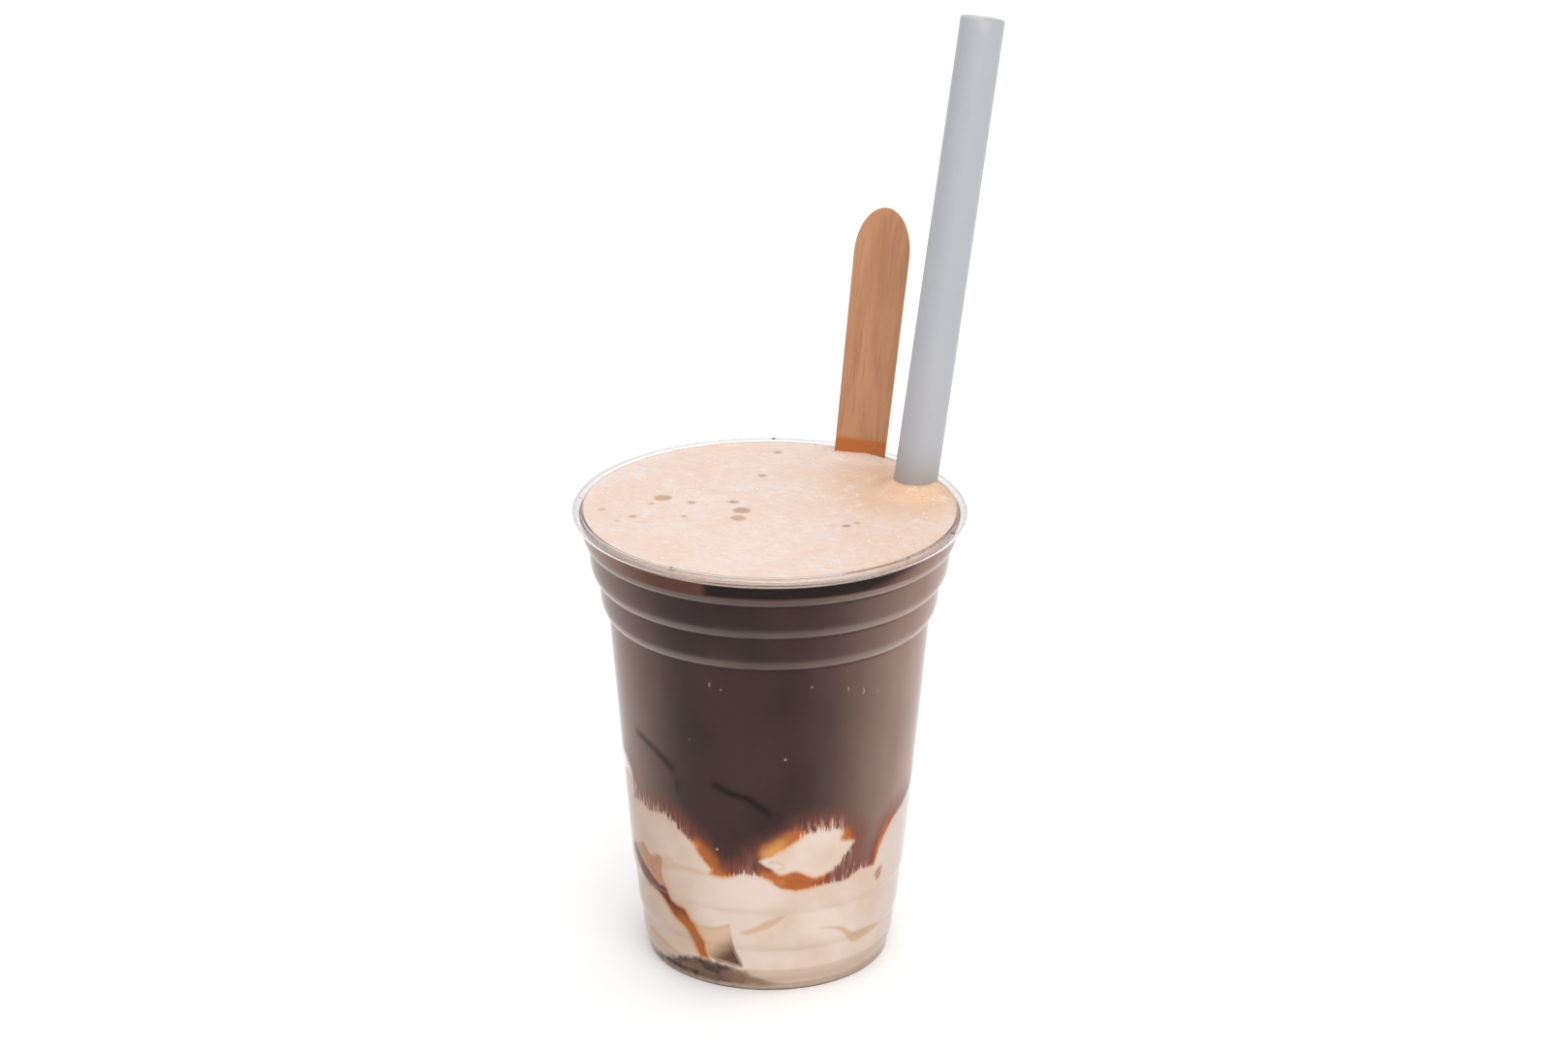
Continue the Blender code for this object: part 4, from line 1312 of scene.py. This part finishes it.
def makePoolBubbles():
    bm = bmesh.new()
    for seed, (angle, height, size) in enumerate(small["poolDots"]):
        centre = placeOnWall(angle, height, out=-size * 0.25)
        addBall(bm, centre, size, Vector((centre.x, centre.y, 0)), seed + 20)
    material = speckledMaterial("bubbles in the pool", toLinear(40, 24, 20), toLinear(92, 68, 60), 0.3)
    return finishSmall("poolBubbles", bm, material)


def makeRimSpecks():
    bm = bmesh.new()
    for seed, (angle, radius, size) in enumerate(small["specks"]):
        turn = math.radians(angle)
        centre = Vector((radius * math.sin(turn), -radius * math.cos(turn), small["speckHeight"]))
        addBall(bm, centre, size, Vector((0, 0, 1)), seed + 40)
    material = speckledMaterial("dried coffee", toLinear(70, 44, 30), toLinear(140, 96, 66), 0.5)
    return finishSmall("rimSpecks", bm, material)


wallBubbles = makeWallBubbles()
poolBubbles = makePoolBubbles()
rimSpecks = makeRimSpecks()
print("bubbles and specks made")


# What each piece stands for

for piece, node, slot in (
    (cupShell, "cup", "clear_plastic"),
    (iceCreamBody, "ice_cream", "ice_cream"),
    (coffeeBody, "coffee", "coffee"),
    (foamCap, "foam", "foam"),
    (strawTube, "straw", "straw_plastic"),
    (stirStick, "stick", "birch"),
    (foamBubbles, None, "foam"),
    (wallBubbles, None, "coffee"),
    (poolBubbles, None, "coffee"),
    (rimSpecks, None, "coffee"),
):
    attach(piece, body)
    if node:
        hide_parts(node)


# Floor, light and camera

studio = {
    "floorSize": 6.0,
    "floor": toLinear(250, 250, 250),
    "floorShade": toLinear(247, 247, 247),
    "aim": (0, 0, 0.1),  # what the lights point at
    "backdrop": 1.0,  # what the camera sees round the object
    "world": 0.88,  # what lights it, a little brighter from the right and above
    "worldSlope": (0.03, 0.0, 0.10),
    "key": (0.35, -1.2, 1.0),
    "keySize": 1.4,
    "keyPower": 11.0,
    "top": (0.2, 0.3, 1.8),
    "topSize": 1.5,
    "topPower": 7.5,
}
camera = {
    "at": (0.0035217, -1.11574, 0.55292),
    "down": 21.473,
    "roll": 0.0057,
    "lens": 111.18,
    "sensor": 36.0,
}


def makeFloor():
    half = studio["floorSize"] / 2
    mesh = bpy.data.meshes.new("floor")
    corners = [(-half, -half, 0), (half, -half, 0), (half, half, 0), (-half, half, 0)]
    mesh.from_pydata(corners, [], [(0, 1, 2, 3)])
    material, tree, shader = newMaterial("pale floor")
    tone = blend(tree, grain(tree, 4, detail=2.0), studio["floor"], studio["floorShade"])
    feed(tree, shader.inputs["Base Color"], tone)
    shader.inputs["Roughness"].default_value = 0.7
    newObject("floor", mesh, material)


def makeWorld():
    world = bpy.data.worlds.new("studio")
    bpy.context.scene.world = world
    world.use_nodes = True
    tree = world.node_tree
    direction = addNode(tree, "ShaderNodeTexCoord").outputs["Generated"]
    inputs = {0: direction, 1: studio["worldSlope"]}
    slope = addNode(tree, "ShaderNodeVectorMath", inputs, operation="DOT_PRODUCT").outputs["Value"]
    around = plus(tree, slope, studio["world"])
    isCamera = addNode(tree, "ShaderNodeLightPath").outputs["Is Camera Ray"]
    away = minus(tree, studio["backdrop"], around)
    back = tree.nodes["Background"]
    back.inputs["Color"].default_value = (1, 1, 1, 1)
    feed(tree, back.inputs["Strength"], plus(tree, around, times(tree, away, isCamera)))


def makeLight(name, place, size, power):
    light = bpy.data.lights.new(name, "AREA")
    light.shape = "DISK"
    light.size = size
    light.energy = power
    obj = bpy.data.objects.new(name, light)
    obj.location = place
    obj.rotation_euler = (Vector(studio["aim"]) - Vector(place)).to_track_quat("-Z", "Y").to_euler()
    bpy.context.scene.collection.objects.link(obj)


def makeCamera():
    data = bpy.data.cameras.new("camera")
    data.lens = camera["lens"]
    data.sensor_width = camera["sensor"]
    obj = bpy.data.objects.new("camera", data)
    tilt = Matrix.Rotation(math.radians(90 - camera["down"]), 4, "X")
    roll = Matrix.Rotation(camera["roll"], 4, "Z")
    obj.matrix_world = Matrix.Translation(camera["at"]) @ (tilt @ roll)
    bpy.context.scene.collection.objects.link(obj)
    bpy.context.scene.camera = obj


makeFloor()
makeWorld()
makeLight("key", studio["key"], studio["keySize"], studio["keyPower"])
makeLight("top", studio["top"], studio["topSize"], studio["topPower"])
makeCamera()
bpy.context.scene.view_settings.view_transform = "Standard"
print("studio made")
